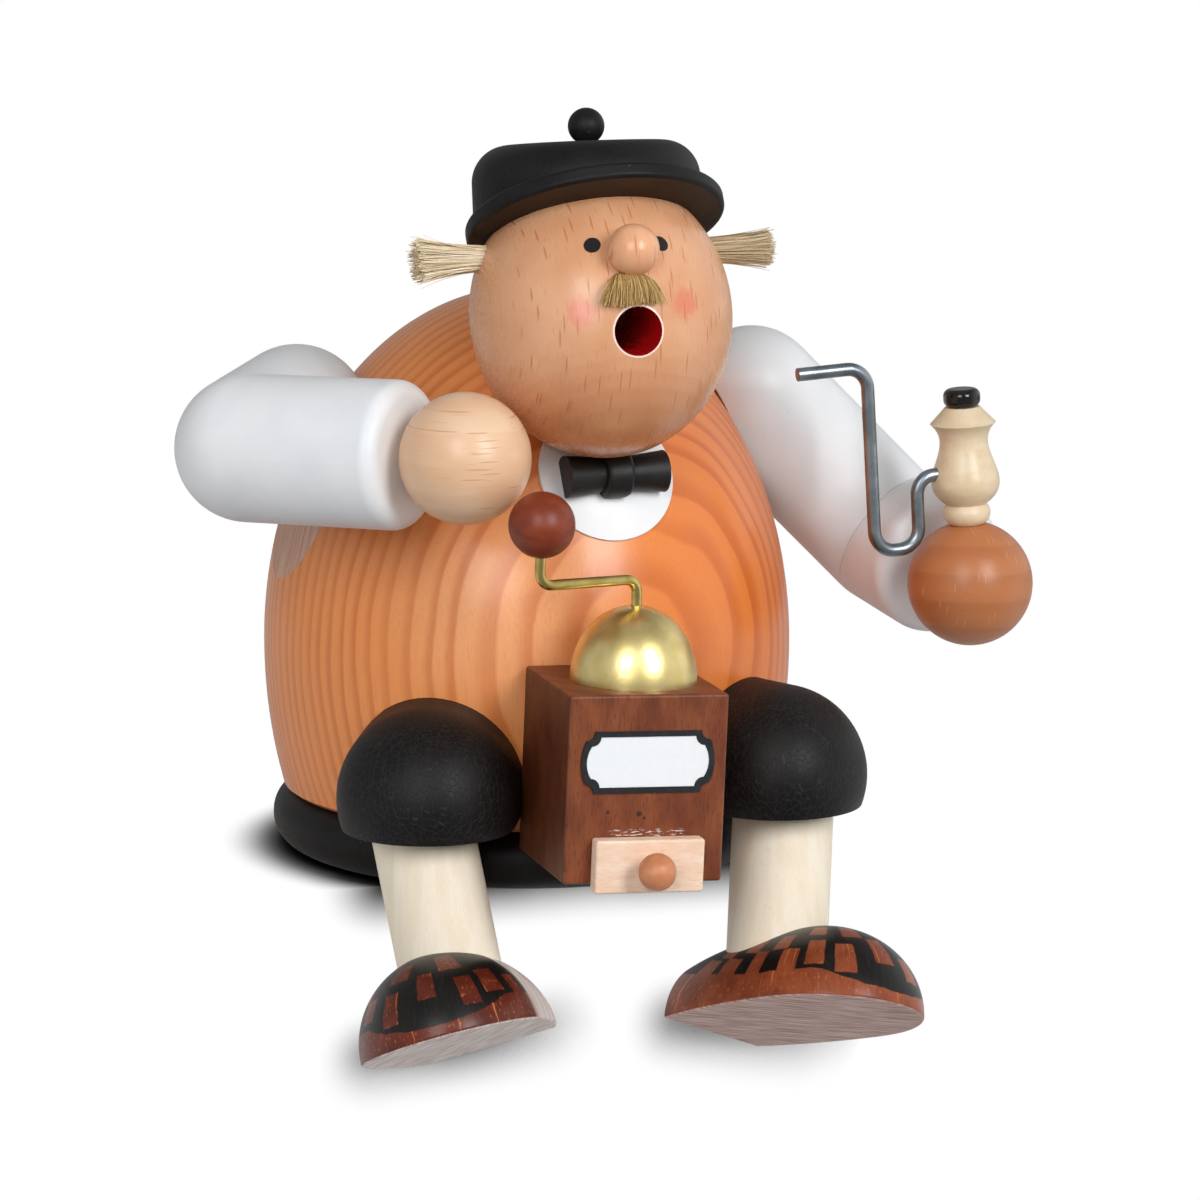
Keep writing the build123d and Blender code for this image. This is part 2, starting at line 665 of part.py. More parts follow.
def stem_path():
    exit_point = (STEM_INSET, 0, STEM_EXIT_HEIGHT)
    down = (STEM_REACH, 0, STEM_EXIT_HEIGHT)
    low = (STEM_REACH, 0, STEM_LOW)
    back = (STEM_REACH + STEM_LOOP, 0, STEM_LOW)
    high = (STEM_REACH + STEM_LOOP, 0, STEM_HIGH)
    tip = (STEM_REACH + STEM_LOOP + STEM_TIP, 0, STEM_HIGH)
    bends = [STEM_OUTER_BEND, STEM_BEND, STEM_BEND, STEM_BEND]
    return FilletPolyline(exit_point, down, low, back, high, tip, radius=bends)


def make_stem():
    path = stem_path()
    section = Plane(origin=path @ 0, z_dir=path % 0) * Circle(STEM_RADIUS)
    return PIPE_FRAME.location * sweep(section, path=path)


def make_pipe_bowl():
    belly = Spline(
        (PIPE_FOOT_RADIUS, PIPE_RING_HEIGHT),
        (PIPE_BELLY_RADIUS, PIPE_BELLY_HEIGHT),
        (PIPE_WAIST_RADIUS, PIPE_WAIST_HEIGHT),
        (PIPE_RIM_RADIUS, PIPE_RIM_HEIGHT),
    )
    ring = ThreePointArc(
        (PIPE_SOLE_RADIUS, 0),
        (PIPE_RING_RADIUS, PIPE_RING_HEIGHT / 2),
        (PIPE_FOOT_RADIUS, PIPE_RING_HEIGHT),
    )
    bowl = turned(
        Line((0, 0), (PIPE_SOLE_RADIUS, 0)),
        ring,
        belly,
        Line((PIPE_RIM_RADIUS, PIPE_RIM_HEIGHT), (PIPE_TOP_RADIUS, PIPE_TOP_HEIGHT)),
        Line((PIPE_TOP_RADIUS, PIPE_TOP_HEIGHT), (0, PIPE_TOP_HEIGHT)),
        Line((0, PIPE_TOP_HEIGHT), (0, 0)),
    )
    tenon = peg(Vector(0, 0, -PIPE_PEG_DEPTH), Vector(0, 0, PIPE_RING_HEIGHT), PIPE_PEG_RADIUS)
    bore = peg(
        Vector(STEM_INSET - GLUE_GAP, 0, STEM_EXIT_HEIGHT),
        Vector(PIPE_BELLY_RADIUS * 2, 0, STEM_EXIT_HEIGHT),
        STEM_RADIUS + GLUE_GAP,
    )
    return PIPE_FRAME.location * (bowl + tenon - bore)


def make_bead():
    bead = Cylinder(BEAD_RADIUS, BEAD_HEIGHT, align=(Align.CENTER, Align.CENTER, Align.MIN))
    bead = fillet(bead.edges(), min(BEAD_EDGE, BEAD_HEIGHT * EDGE_LIMIT))
    return PIPE_FRAME.location * Pos(0, 0, PIPE_TOP_HEIGHT) * bead


def make_left_hand():
    hand = make_hand(LEFT_ARM)
    hand = keep_above(hand, PIPE_FRAME.origin - PIPE_UP * GLUE_GAP, PIPE_UP * -1)
    bottom = PIPE_FRAME.origin - PIPE_UP * (PIPE_PEG_DEPTH + GLUE_GAP)
    return one(hand - peg(bottom, PIPE_FRAME.origin + PIPE_UP, PIPE_PEG_RADIUS + GLUE_GAP))


# Legs
class Leg:
    """Points and directions of one leg, from the pocket in the body to the shoe."""

    def __init__(self, side, forward, outset, sink, pitch, roll, toe_out):
        knee_turn = radians(KNEE_AZIMUTH)
        thigh_turn = radians(THIGH_AZIMUTH)
        reach = BELLY_RADIUS + KNEE_REACH
        height = BODY_Z + THIGH_HEIGHT
        self.knee = Vector(side * reach * sin(knee_turn), -reach * cos(knee_turn), height)
        self.run = Vector(side * sin(thigh_turn), -cos(thigh_turn), 0)
        self.hip = self.knee - self.run * THIGH_LENGTH
        self.underside = height - THIGH_UNDERSIDE
        top = Vector(self.knee.X + side * SHIN_OUTSET, self.knee.Y, self.underside)
        lean = Vector(
            -side * tan(radians(SHIN_LEAN_IN)), -tan(radians(SHIN_LEAN_FORWARD)), -1
        ).normalized()
        self.shin_run = lean
        self.shin_top = top - lean * SHIN_DEPTH
        ankle = top + lean * SHIN_DROP
        self.shin_end = ankle + lean * SHOE_DEPTH
        pitch = radians(pitch)
        roll = radians(roll)
        up = Vector(side * sin(roll), sin(pitch) * cos(roll), cos(pitch) * cos(roll))
        toe = Vector(side * sin(radians(toe_out)), -cos(radians(toe_out)), 0)
        toe = (toe - up * toe.dot(up)).normalized()
        outward = toe.cross(up) * -side
        base = ankle + toe * forward + outward * outset - up * (SHOE_RADIUS - sink)
        self.shoe = Plane(origin=base, x_dir=toe, z_dir=up)


RIGHT_LEG = Leg(
    -1,
    RIGHT_SHOE_FORWARD,
    RIGHT_SHOE_OUT,
    RIGHT_SHOE_SINK,
    RIGHT_SHOE_PITCH,
    RIGHT_SHOE_ROLL,
    RIGHT_SHOE_TOE_OUT,
)
LEFT_LEG = Leg(
    1,
    LEFT_SHOE_FORWARD,
    LEFT_SHOE_OUT,
    LEFT_SHOE_SINK,
    LEFT_SHOE_PITCH,
    LEFT_SHOE_ROLL,
    LEFT_SHOE_TOE_OUT,
)
LEGS = {"right": RIGHT_LEG, "left": LEFT_LEG}


def thigh_shape(leg, grow=0.0):
    rod = rounded_rod(leg.knee, leg.run * -1, THIGH_LENGTH + grow, THIGH_RADIUS + grow, THIGH_EDGE)
    return keep_above(rod, (0, 0, leg.underside - grow), (0, 0, 1))


def make_thigh(leg):
    thigh = thigh_shape(leg) - shin_rod(leg, GLUE_GAP) - dowel(leg.hip, leg.run, GLUE_GAP)
    return one(thigh - mill_block(LOOSE_GAP))


def shin_rod(leg, grow=0.0):
    return peg(leg.shin_top - leg.shin_run * grow, leg.shin_end + leg.shin_run * grow, SHIN_RADIUS + grow)


def make_shin(leg):
    return shin_rod(leg)


def make_shoe(leg):
    toe = oval(0, SHOE_TOE, SHOE_RADIUS, 0, 90)
    curve = SHOE_HEEL * SHOE_HEEL_CURVE
    heel = oval(0, curve, SHOE_RADIUS, 90, 180)
    split_line = Line((-curve, 0), (SHOE_TOE, 0))
    egg = revolve(make_face([toe, heel, split_line]), Axis.X)
    half = keep_above(egg, (0, 0, 0), (0, 0, 1))
    half = keep_above(half, (-SHOE_HEEL, 0, 0), (1, 0, 0))
    half = fillet(half.edges().group_by(Axis.Z)[0], SOLE_EDGE)
    return one(leg.shoe.location * half - shin_rod(leg, GLUE_GAP))


# Coffee mill, in its own frame: origin at the box centre, front towards local -Y
MILL_SEAT = BELLY_RADIUS - MILL_SEAT_DEPTH
MILL_REACH = MILL_SEAT + MILL_WIDTH / 2
MILL_AHEAD = Vector(-sin(radians(MILL_SWING)), -cos(radians(MILL_SWING)), 0)
MILL_CENTRE = MILL_AHEAD * MILL_REACH + Vector(0, 0, BODY_Z + MILL_CENTRE_HEIGHT)
MILL = Pos(MILL_CENTRE) * Rot(0, 0, -MILL_SWING) * Rot(0, MILL_ROLL, 0)
MILL_TOP = MILL_HEIGHT / 2
DRAWER_Z = DRAWER_HEIGHT / 2 - MILL_HEIGHT / 2 - DRAWER_INSET
DOME_TOP = MILL_TOP + DOME_HEIGHT
MILL_SEAT_POINT = MILL_AHEAD * MILL_SEAT + Vector(0, 0, MILL_CENTRE.Z)


def mill_block(grow=0.0):
    return MILL * Box(MILL_WIDTH + 2 * grow, MILL_WIDTH + 2 * grow, MILL_HEIGHT + 2 * grow)


def make_mill_box():
    box = Box(MILL_WIDTH, MILL_WIDTH, MILL_HEIGHT)
    box = MILL * fillet(box.edges(), MILL_EDGE)
    front = -MILL_WIDTH / 2
    hole = MILL * peg(
        Vector(DRAWER_SHIFT, front - OVERCUT, DRAWER_Z),
        Vector(DRAWER_SHIFT, front + PULL_PEG_DEPTH + GLUE_GAP, DRAWER_Z),
        PULL_PEG_RADIUS + GLUE_GAP,
    )
    return one(box - hole - dowel(MILL_SEAT_POINT, MILL_AHEAD, GLUE_GAP))


def make_dome():
    hole = WIRE_RADIUS + CRANK_GAP
    floor = DOME_HEIGHT - CRANK_DEPTH - CRANK_GAP
    rise = degrees(acos(hole / DOME_RADIUS))
    wall = oval(0, DOME_RADIUS, DOME_HEIGHT, 0, rise)
    bore = Polyline(wall @ 1, (hole, floor), (0, floor), (0, 0), (DOME_RADIUS, 0))
    return MILL * Pos(DOME_SHIFT, 0, MILL_TOP) * turned(wall, bore)


def crank_points():
    low = Vector(DOME_SHIFT, 0, DOME_TOP - CRANK_DEPTH)
    turn = Vector(DOME_SHIFT, 0, DOME_TOP + CRANK_RISE)
    ahead = Vector(cos(radians(CRANK_REST)), sin(radians(CRANK_REST)), 0)
    corner = turn + ahead * CRANK_RADIUS
    top = corner + Vector(0, 0, CRANK_POST)
    return low, turn, corner, top


def make_crank():
    path = FilletPolyline(*crank_points(), radius=CRANK_BEND)
    section = Plane(origin=path @ 0, z_dir=path % 0) * Circle(WIRE_RADIUS)
    return MILL * sweep(section, path=path)


def make_crank_knob():
    top = crank_points()[-1]
    below = top - Vector(0, 0, CRANK_KNOB_RADIUS + OVERCUT)
    hole = peg(below, top + Vector(0, 0, GLUE_GAP), WIRE_RADIUS + GLUE_GAP)
    return MILL * (ball(top, CRANK_KNOB_RADIUS) - hole)


def label_outline(inset):
    """Plate outline with rounded-in corners and bulged ends, drawn in by an inset."""
    half_width = LABEL_WIDTH / 2 - LABEL_BULGE - inset
    half_height = LABEL_HEIGHT / 2 - inset
    plate = Rectangle(2 * half_width, 2 * half_height)
    for x in (-half_width, half_width):
        for y in (-half_height, half_height):
            plate -= Pos(x, y) * Circle(LABEL_NOTCH)
    tall = half_height - LABEL_NOTCH
    arc_radius = (tall**2 + LABEL_BULGE**2) / (2 * LABEL_BULGE)
    for side in (-1, 1):
        cap = Pos(side * (half_width + LABEL_BULGE - arc_radius), 0) * Circle(arc_radius)
        plate += cap & Pos(side * half_width, 0) * Rectangle(2 * LABEL_BULGE, 2 * tall)
    return plate


LABEL_FACE = MILL * Location(
    Plane(origin=(0, -MILL_WIDTH / 2, LABEL_RAISE), x_dir=(1, 0, 0), z_dir=(0, -1, 0))
)


def make_label_frame():
    ring = label_outline(0) - label_outline(LABEL_BORDER)
    return LABEL_FACE * extrude(ring, LABEL_THICKNESS)


def make_label_card():
    return LABEL_FACE * extrude(label_outline(LABEL_BORDER + GLUE_GAP), LABEL_THICKNESS - CARD_RECESS)


def make_drawer():
    board = Box(DRAWER_WIDTH, DRAWER_THICKNESS, DRAWER_HEIGHT)
    board = fillet(board.edges(), DRAWER_EDGE)
    y = -MILL_WIDTH / 2 - DRAWER_THICKNESS / 2
    hole = Rot(90, 0, 0) * Cylinder(PULL_PEG_RADIUS + GLUE_GAP, DRAWER_THICKNESS * 2)
    return MILL * Pos(DRAWER_SHIFT, y, DRAWER_Z) * (board - hole)


def make_pull():
    face = -MILL_WIDTH / 2 - DRAWER_THICKNESS
    centre = Vector(DRAWER_SHIFT, face - PULL_STAND_OFF, DRAWER_Z)
    root = Vector(DRAWER_SHIFT, -MILL_WIDTH / 2 + PULL_PEG_DEPTH, DRAWER_Z)
    return MILL * (ball(centre, PULL_RADIUS) + peg(root, centre, PULL_PEG_RADIUS))


# Body shell, cut for everything that seats on it
def make_body():
    body = body_outer()
    body = chamfer(body.edges().group_by(Axis.Z)[0], BODY_EDGE)
    body = keep_above(body, SEAT_CENTRE, SEAT_NORMAL * -1)
    for arm in ARMS.values():
        body = keep_above(body, arm.flat, arm.normal * -1)
        body -= arm.dowel("shoulder", GLUE_GAP)
    for leg in LEGS.values():
        body -= thigh_shape(leg, GLUE_GAP)
        body -= dowel(leg.hip, leg.run, GLUE_GAP)
    body -= mill_block(GLUE_GAP)
    body -= dowel(MILL_SEAT_POINT, MILL_AHEAD, GLUE_GAP)
    body -= peg(Vector(0, 0, BODY_Z - OVERCUT), Vector(0, 0, BODY_Z + CAVITY_DEPTH), CAVITY_RADIUS)
    body -= peg(
        NECK_CENTRE - SEAT_NORMAL * NECK_DEPTH, NECK_CENTRE + SEAT_NORMAL, NECK_RADIUS + GLUE_GAP
    )
    drop = (NECK_CENTRE.Z - BODY_Z - CAVITY_DEPTH) / SEAT_NORMAL.Z + CHIMNEY_RADIUS * 2
    body -= peg(NECK_CENTRE - SEAT_NORMAL * drop, NECK_CENTRE, CHIMNEY_RADIUS)
    return one(body)


def make_all():
    nodes = {
        "base_plinth": make_plinth(),
        "incense_dish": make_dish(),
        "dish_nail": make_nail(),
        "body_shell": make_body(),
        "shirt_front": make_bib(),
        "bow_tie": make_tie(),
        "head": make_head(),
        "neck_tube": make_neck(),
        "nose": make_nose(),
        "moustache": make_moustache(),
        "right_hair_tuft": make_tuft(-1, RIGHT_TUFT_TIP_RADIUS),
        "left_hair_tuft": make_tuft(1, LEFT_TUFT_TIP_RADIUS),
        "cap_brim": make_brim(),
        "cap_crown": make_crown(),
        "cap_button": make_button(),
        "right_hand": make_hand(RIGHT_ARM),
        "left_hand": make_left_hand(),
        "pipe_bowl": make_pipe_bowl(),
        "pipe_stem": make_stem(),
        "pipe_bead": make_bead(),
        "grinder_box": make_mill_box(),
        "grinder_dome": make_dome(),
        "grinder_dowel": dowel(MILL_SEAT_POINT, MILL_AHEAD),
        "crank_arm": make_crank(),
        "crank_knob": make_crank_knob(),
        "label_frame": make_label_frame(),
        "label_card": make_label_card(),
        "drawer_front": make_drawer(),
        "drawer_knob": make_pull(),
    }
    for name, arm in ARMS.items():
        nodes[f"{name}_upper_arm"] = make_upper_arm(arm)
        nodes[f"{name}_forearm"] = make_forearm(arm)
    for name, leg in LEGS.items():
        nodes[f"{name}_thigh"] = make_thigh(leg)
        nodes[f"{name}_shin"] = make_shin(leg)
        nodes[f"{name}_shoe"] = make_shoe(leg)
    for spot in ("shoulder", "elbow", "wrist"):
        nodes[f"{spot}_dowels"] = Compound(children=[arm.dowel(spot).solid() for arm in ARMS.values()])
    nodes["hip_dowels"] = Compound(children=[dowel(leg.hip, leg.run).solid() for leg in LEGS.values()])
    return nodes


os.makedirs("parts", exist_ok=True)
for node, shape in make_all().items():
    export_step(shape, f"parts/{node}.step")
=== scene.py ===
"""Looks of the seated incense smoker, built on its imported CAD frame.

Metres, in the CAD frame: the figure faces -Y and sits at the origin on a shelf, with its lower
legs hanging in front of the shelf. Places and sizes inside the materials are in millimetres.
"""
import math
import random

import bpy
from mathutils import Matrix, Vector


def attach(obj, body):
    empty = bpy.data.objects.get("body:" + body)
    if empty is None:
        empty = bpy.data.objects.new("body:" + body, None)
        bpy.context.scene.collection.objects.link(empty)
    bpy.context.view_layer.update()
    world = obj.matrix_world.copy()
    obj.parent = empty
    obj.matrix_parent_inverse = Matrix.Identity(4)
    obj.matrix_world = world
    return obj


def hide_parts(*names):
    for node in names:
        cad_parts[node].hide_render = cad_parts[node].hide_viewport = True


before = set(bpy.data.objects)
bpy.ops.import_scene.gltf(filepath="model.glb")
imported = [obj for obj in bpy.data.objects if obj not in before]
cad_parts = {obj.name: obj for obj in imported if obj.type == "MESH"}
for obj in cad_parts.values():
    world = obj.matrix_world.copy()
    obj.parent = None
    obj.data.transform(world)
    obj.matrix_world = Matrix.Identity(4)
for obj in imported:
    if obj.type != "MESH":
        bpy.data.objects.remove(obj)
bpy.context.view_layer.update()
MM = 0.001
SIDES = ("right", "left")


def srgb(red, green, blue):
    """A linear colour from display values of 0 to 255."""
    linear = []
    for value in (red / 255, green / 255, blue / 255):
        linear.append(value / 12.92 if value <= 0.04045 else ((value + 0.055) / 1.055) ** 2.4)
    return (*linear, 1.0)


# Camera
CAMERA_AZIMUTH = -18.0
CAMERA_ELEVATION = 10.3
CAMERA_TARGET = Vector((13.79, -4.48, 47.7)) * MM
CAMERA_DISTANCE = 1.0
CAMERA_LENS = 151.5
CAMERA_SENSOR = 36.0

# Shelf that the figure sits on, and the light
SHELF_FRONT = -0.0325
SHELF_REACH = 3.0
SHELF_GAP = 0.0001
SHELF_COLOUR = (0.94, 0.94, 0.94, 1.0)
SHELF_SEEN = (0.0, 0.0, 0.0, 1.0)
# Painted shadow on the shelf: how close to the plinth and the soles it reaches, and the reach,
# depth and samples of its ambient occlusion
CONTACT_REACH = 11.0
SHADE_REACH = 24.0
SHADE_DEPTH = 4.5
SHADE_SAMPLES = 16
PLINTH_RADIUS = 50.5
# Lines on the shelf's front face below the soles at rest, where the painted shadow lies, as (x, z)
# ends in millimetres
SOLE_LINES = (
    ((-42.0, -35.0), (-5.0, -31.5)),
    ((20.0, -32.5), (46.0, -38.5)),
    ((46.0, -38.5), (71.0, -36.5)),
)
MIDDLE_AMBIENT = 0.1
LEFT_AMBIENT = 0.6
RIGHT_AMBIENT = 1.0
BELOW_AMBIENT = 0.25
BACK_AMBIENT = 0.35
GLOSS_AMBIENT = 0.3
SIDE_PANEL = (0.45, 0.9)
BELOW_PANEL = (-0.1, -0.6)
BACK_PANEL = (0.3, 0.8)
LAMP_DISTANCE = 1.1
# Each lamp: azimuth and elevation in degrees, width and height in metres, power in watts
LAMPS = {
    "left_softbox": (-31.0, 25.0, 0.4, 0.6, 4.4),
    "right_softbox": (18.0, 26.0, 0.34, 0.5, 6.4),
    "top_softbox": (-18.0, 78.0, 0.8, 0.8, 0.2),
}

# Head, in its own frame
HEAD_CENTRE = (0.0, -47.34, 110.05)
HEAD_TILT = math.radians(28.3)
HEAD_RADIUS = 24.6
HEAD_HALF_HEIGHT = 27.0
EYES = {"right": (-18.0, 11.6), "left": (13.0, 10.6)}
EYE_RADIUS = 1.65
CHEEKS = {"right": (-27.2, -17.0), "left": (22.0, -15.5)}
CHEEK_RADIUS = 3.9
MOUTH_RADIUS = 4.5
MOUTH_RIM = 0.42
MOUTH_TURN = math.radians(-1.76)
EAR_FADE = (17.5, 22.0)
CHIN_RINGS = (-9.0, -20.0)
# Painted shade and reflection towards the chin: the heights where they start and where they are
# full
CHIN_SHADE_AND_REFLECTION = (-12.0, -24.0)

# Bristles
TUFT_HEIGHT = 11.6
TUFT_FORWARD = 1.5
TUFT_ROOT = 2.3
TUFT_LENGTH = 13.2
TUFT_STRANDS = 700
TUFT_TIPS = {"right": 4.0, "left": 3.2}
TUFT_DEPTH = 2.5
TUFT_CUT = (0.88, 1.0)
TUFT_SWELL = 0.25
TUFT_BEND = 0.45
TUFT_JITTER = {"middle": 0.18, "tip": 0.28}
STRAY_SHARE = 0.07
STRAY_SPREAD = 1.35
MOUSTACHE_STRANDS = 620
MOUSTACHE_PLACE = (-4.5, -5.4)
MOUSTACHE_DROOP = math.radians(34.0)
MOUSTACHE_DROP = 4.2
MOUSTACHE_CUT = (0.72, 1.12)
MOUSTACHE_DEPTH = 1.5
# Half sizes across and through the brush, at the root, the bend and the tips
MOUSTACHE_ROOT = (2.6, 1.2)
MOUSTACHE_BEND = (4.9, 0.8)
MOUSTACHE_TIP = (6.1, 1.5)
MOUSTACHE_RISE = 1.0
MOUSTACHE_OUT = {"bend": 3.0, "tip": 2.7}
MOUSTACHE_JITTER = {"across": 0.6, "out": 0.3}
STRAND_RADIUS = 0.1
STRAND_THIN = 0.8
STRAND_THICK = {"tuft": 1.3, "moustache": 1.25}
STRAND_TAPER = 0.35
STRAND_SIDES = 3
STRAND_STEPS = 4
STRAND_SEED = 7

# Shoes: each frame as origin, toe and up
SHOE_PLACES = {
    "right": (
        (-34.5798, -64.8796, -23.2465),
        (-0.5025, -0.8206, 0.2723),
        (-0.1495, 0.3927, 0.9074),
    ),
    "left": (
        (37.0473, -69.9087, -22.8555),
        (0.4866, -0.8294, 0.2744),
        (0.2164, 0.4188, 0.8819),
    ),
}
# The black toe's border: its middle, how fast it rises to the sides, its lowest and its highest
TOE_CENTRE = {"right": 8.0, "left": -3.0}
TOE_CURVE = 0.0047
TOE_LOW = 6.6
TOE_HIGH = 17.5
# Brown patches: azimuth from the toe, height, and half sizes across and up, in degrees
PATCHES = {
    "right": (
        (-42.0, 29.0, 7.0, 7.5),
        (-18.5, 23.5, 5.5, 10.0),
        (6.0, 32.5, 5.5, 9.5),
        (31.0, 24.0, 6.0, 10.0),
        (50.0, 29.0, 7.5, 9.0),
        (72.0, 24.5, 6.5, 7.5),
        (-16.0, 50.0, 9.0, 8.5),
        (27.0, 51.0, 9.5, 9.5),
    ),
    "left": (
        (-143.0, 20.0, 5.5, 6.0),
        (-126.0, 21.5, 6.5, 7.0),
        (-103.0, 26.0, 6.0, 9.0),
        (-75.0, 26.0, 7.0, 8.5),
        (-56.0, 31.0, 6.5, 10.5),
        (-36.0, 26.0, 6.5, 11.0),
        (-10.0, 34.0, 6.5, 11.0),
        (10.0, 23.0, 6.0, 8.0),
        (-137.0, 33.0, 6.0, 5.0),
        (-116.0, 40.0, 6.5, 6.5),
        (-87.0, 43.0, 7.5, 7.5),
        (-58.0, 55.0, 8.0, 7.0),
        (-27.0, 54.0, 9.0, 9.0),
    ),
}
# Patches that the photo hides: their azimuths, and rows as shift, height and half sizes
HIDDEN_PATCHES = {
    "right": (-66.0, -88.0, -110.0, -132.0, -154.0),
    "left": (34.0, 56.0, 78.0, 100.0, 122.0, 144.0),
}
HIDDEN_ROWS = ((0.0, 25.0, 6.0, 9.0), (11.0, 42.0, 7.0, 7.0))
# The right heel's inner side takes the sole's pale colour from this azimuth on; the left shoe has
# no such place
HEEL_PALE = {"right": (80.0, 90.0), "left": (400.0, 410.0)}
SOLE_EDGE = (0.35, 0.15)
SHOE_STAINS = {
    "right": (srgb(86, 32, 20), srgb(110, 46, 28)),
    "left": (srgb(120, 56, 33), srgb(150, 76, 46)),
}
# Bare sole wood; the right sole's colours are lifted nearly to white, painted light standing in for
# light on a sole that faces down
SOLE_WOOD_AND_PAINTED_LIGHT = {
    "right": (srgb(196, 178, 172), srgb(244, 232, 226)),
    "left": (srgb(172, 134, 124), srgb(220, 190, 180)),
}

# Mill, in its own frame
MILL_CENTRE = (-1.85, -66.22, 26.6)
MILL_SWING = math.radians(1.6)
MILL_ROLL = math.radians(2.4)
MILL_FRONT = (-14.6, -15.0)
# The scuff's place, and how far it reaches across and up before it fades and ends
SCUFF_PLACE = (0.4, -8.2)
SCUFF_ACROSS = (7.6, 6.2)
SCUFF_UP = (0.95, 0.4)
# Knots: place across and up, and size
KNOTS = ((-1.2, -4.6, 0.62), (-7.2, -4.2, 0.4), (-0.2, -5.4, 0.35))

# Body's growth rings
RING_TURN = math.radians(7.5)
RING_PITH = 120.0
RING_LEAN = 0.07
RING_WIDTH = 2.65
SHOULDER_SLOPE = math.radians(23.0)
SHOULDER_FLAT = (0.994, 0.998)
WARM_SIDE = (-38.0, 44.0)
# A painted highlight on the front of the body, under the bib: its middle, and the distances where
# it is gone and where it is full
BELLY_HIGHLIGHT_MIDDLE = (-18.0, -48.0, 56.0)
BELLY_HIGHLIGHT_FADE = (30.0, 6.0)


def direction(azimuth, elevation):
    """Unit vector to a place; azimuth 0 is straight ahead of the figure, positive to its left."""
    turn = math.radians(azimuth)
    rise = math.radians(elevation)
    level = math.cos(rise)
    return Vector((math.sin(turn) * level, -math.cos(turn) * level, math.sin(rise)))


class Frame:
    """An origin and three axes, in millimetres."""

    def __init__(self, origin, x, z):
        self.origin = Vector(origin)
        self.x = Vector(x).normalized()
        self.z = Vector(z)
        self.z = (self.z - self.x * self.z.dot(self.x)).normalized()
        self.y = self.z.cross(self.x)

    def point(self, x, y, z):
        return self.origin + self.x * x + self.y * y + self.z * z


ROW = Frame((0, 0, 0), (1, 0, 0), (0, 0, 1))
HEAD = Frame(HEAD_CENTRE, (1, 0, 0), (0, math.sin(HEAD_TILT), math.cos(HEAD_TILT)))
MILL = Frame(
    MILL_CENTRE,
    (math.cos(MILL_SWING) * math.cos(MILL_ROLL), -math.sin(MILL_SWING), -math.sin(MILL_ROLL)),
    (math.sin(MILL_ROLL), 0, math.cos(MILL_ROLL)),
)


def face_point(azimuth, elevation):
    """A point of the head's surface, in millimetres, from its angles in the head's frame."""
    run = direction(azimuth, elevation)
    level = math.hypot(run.x, run.y) / HEAD_RADIUS
    reach = 1 / math.hypot(level, run.z / HEAD_HALF_HEIGHT)
    return HEAD.point(*(run * reach))


class Num:
    """A number that varies over a surface: one output in a look's node tree."""

    def __init__(self, look, socket):
        self.look = look
        self.socket = socket

    def __add__(self, other):
        return self.look.math("ADD", self, other)

    def __sub__(self, other):
        return self.look.math("SUBTRACT", self, other)

    def __rsub__(self, other):
        return self.look.math("SUBTRACT", other, self)

    def __mul__(self, other):
        return self.look.math("MULTIPLY", self, other)

    def __truediv__(self, other):
        return self.look.math("DIVIDE", self, other)

    __radd__ = __add__
    __rmul__ = __mul__


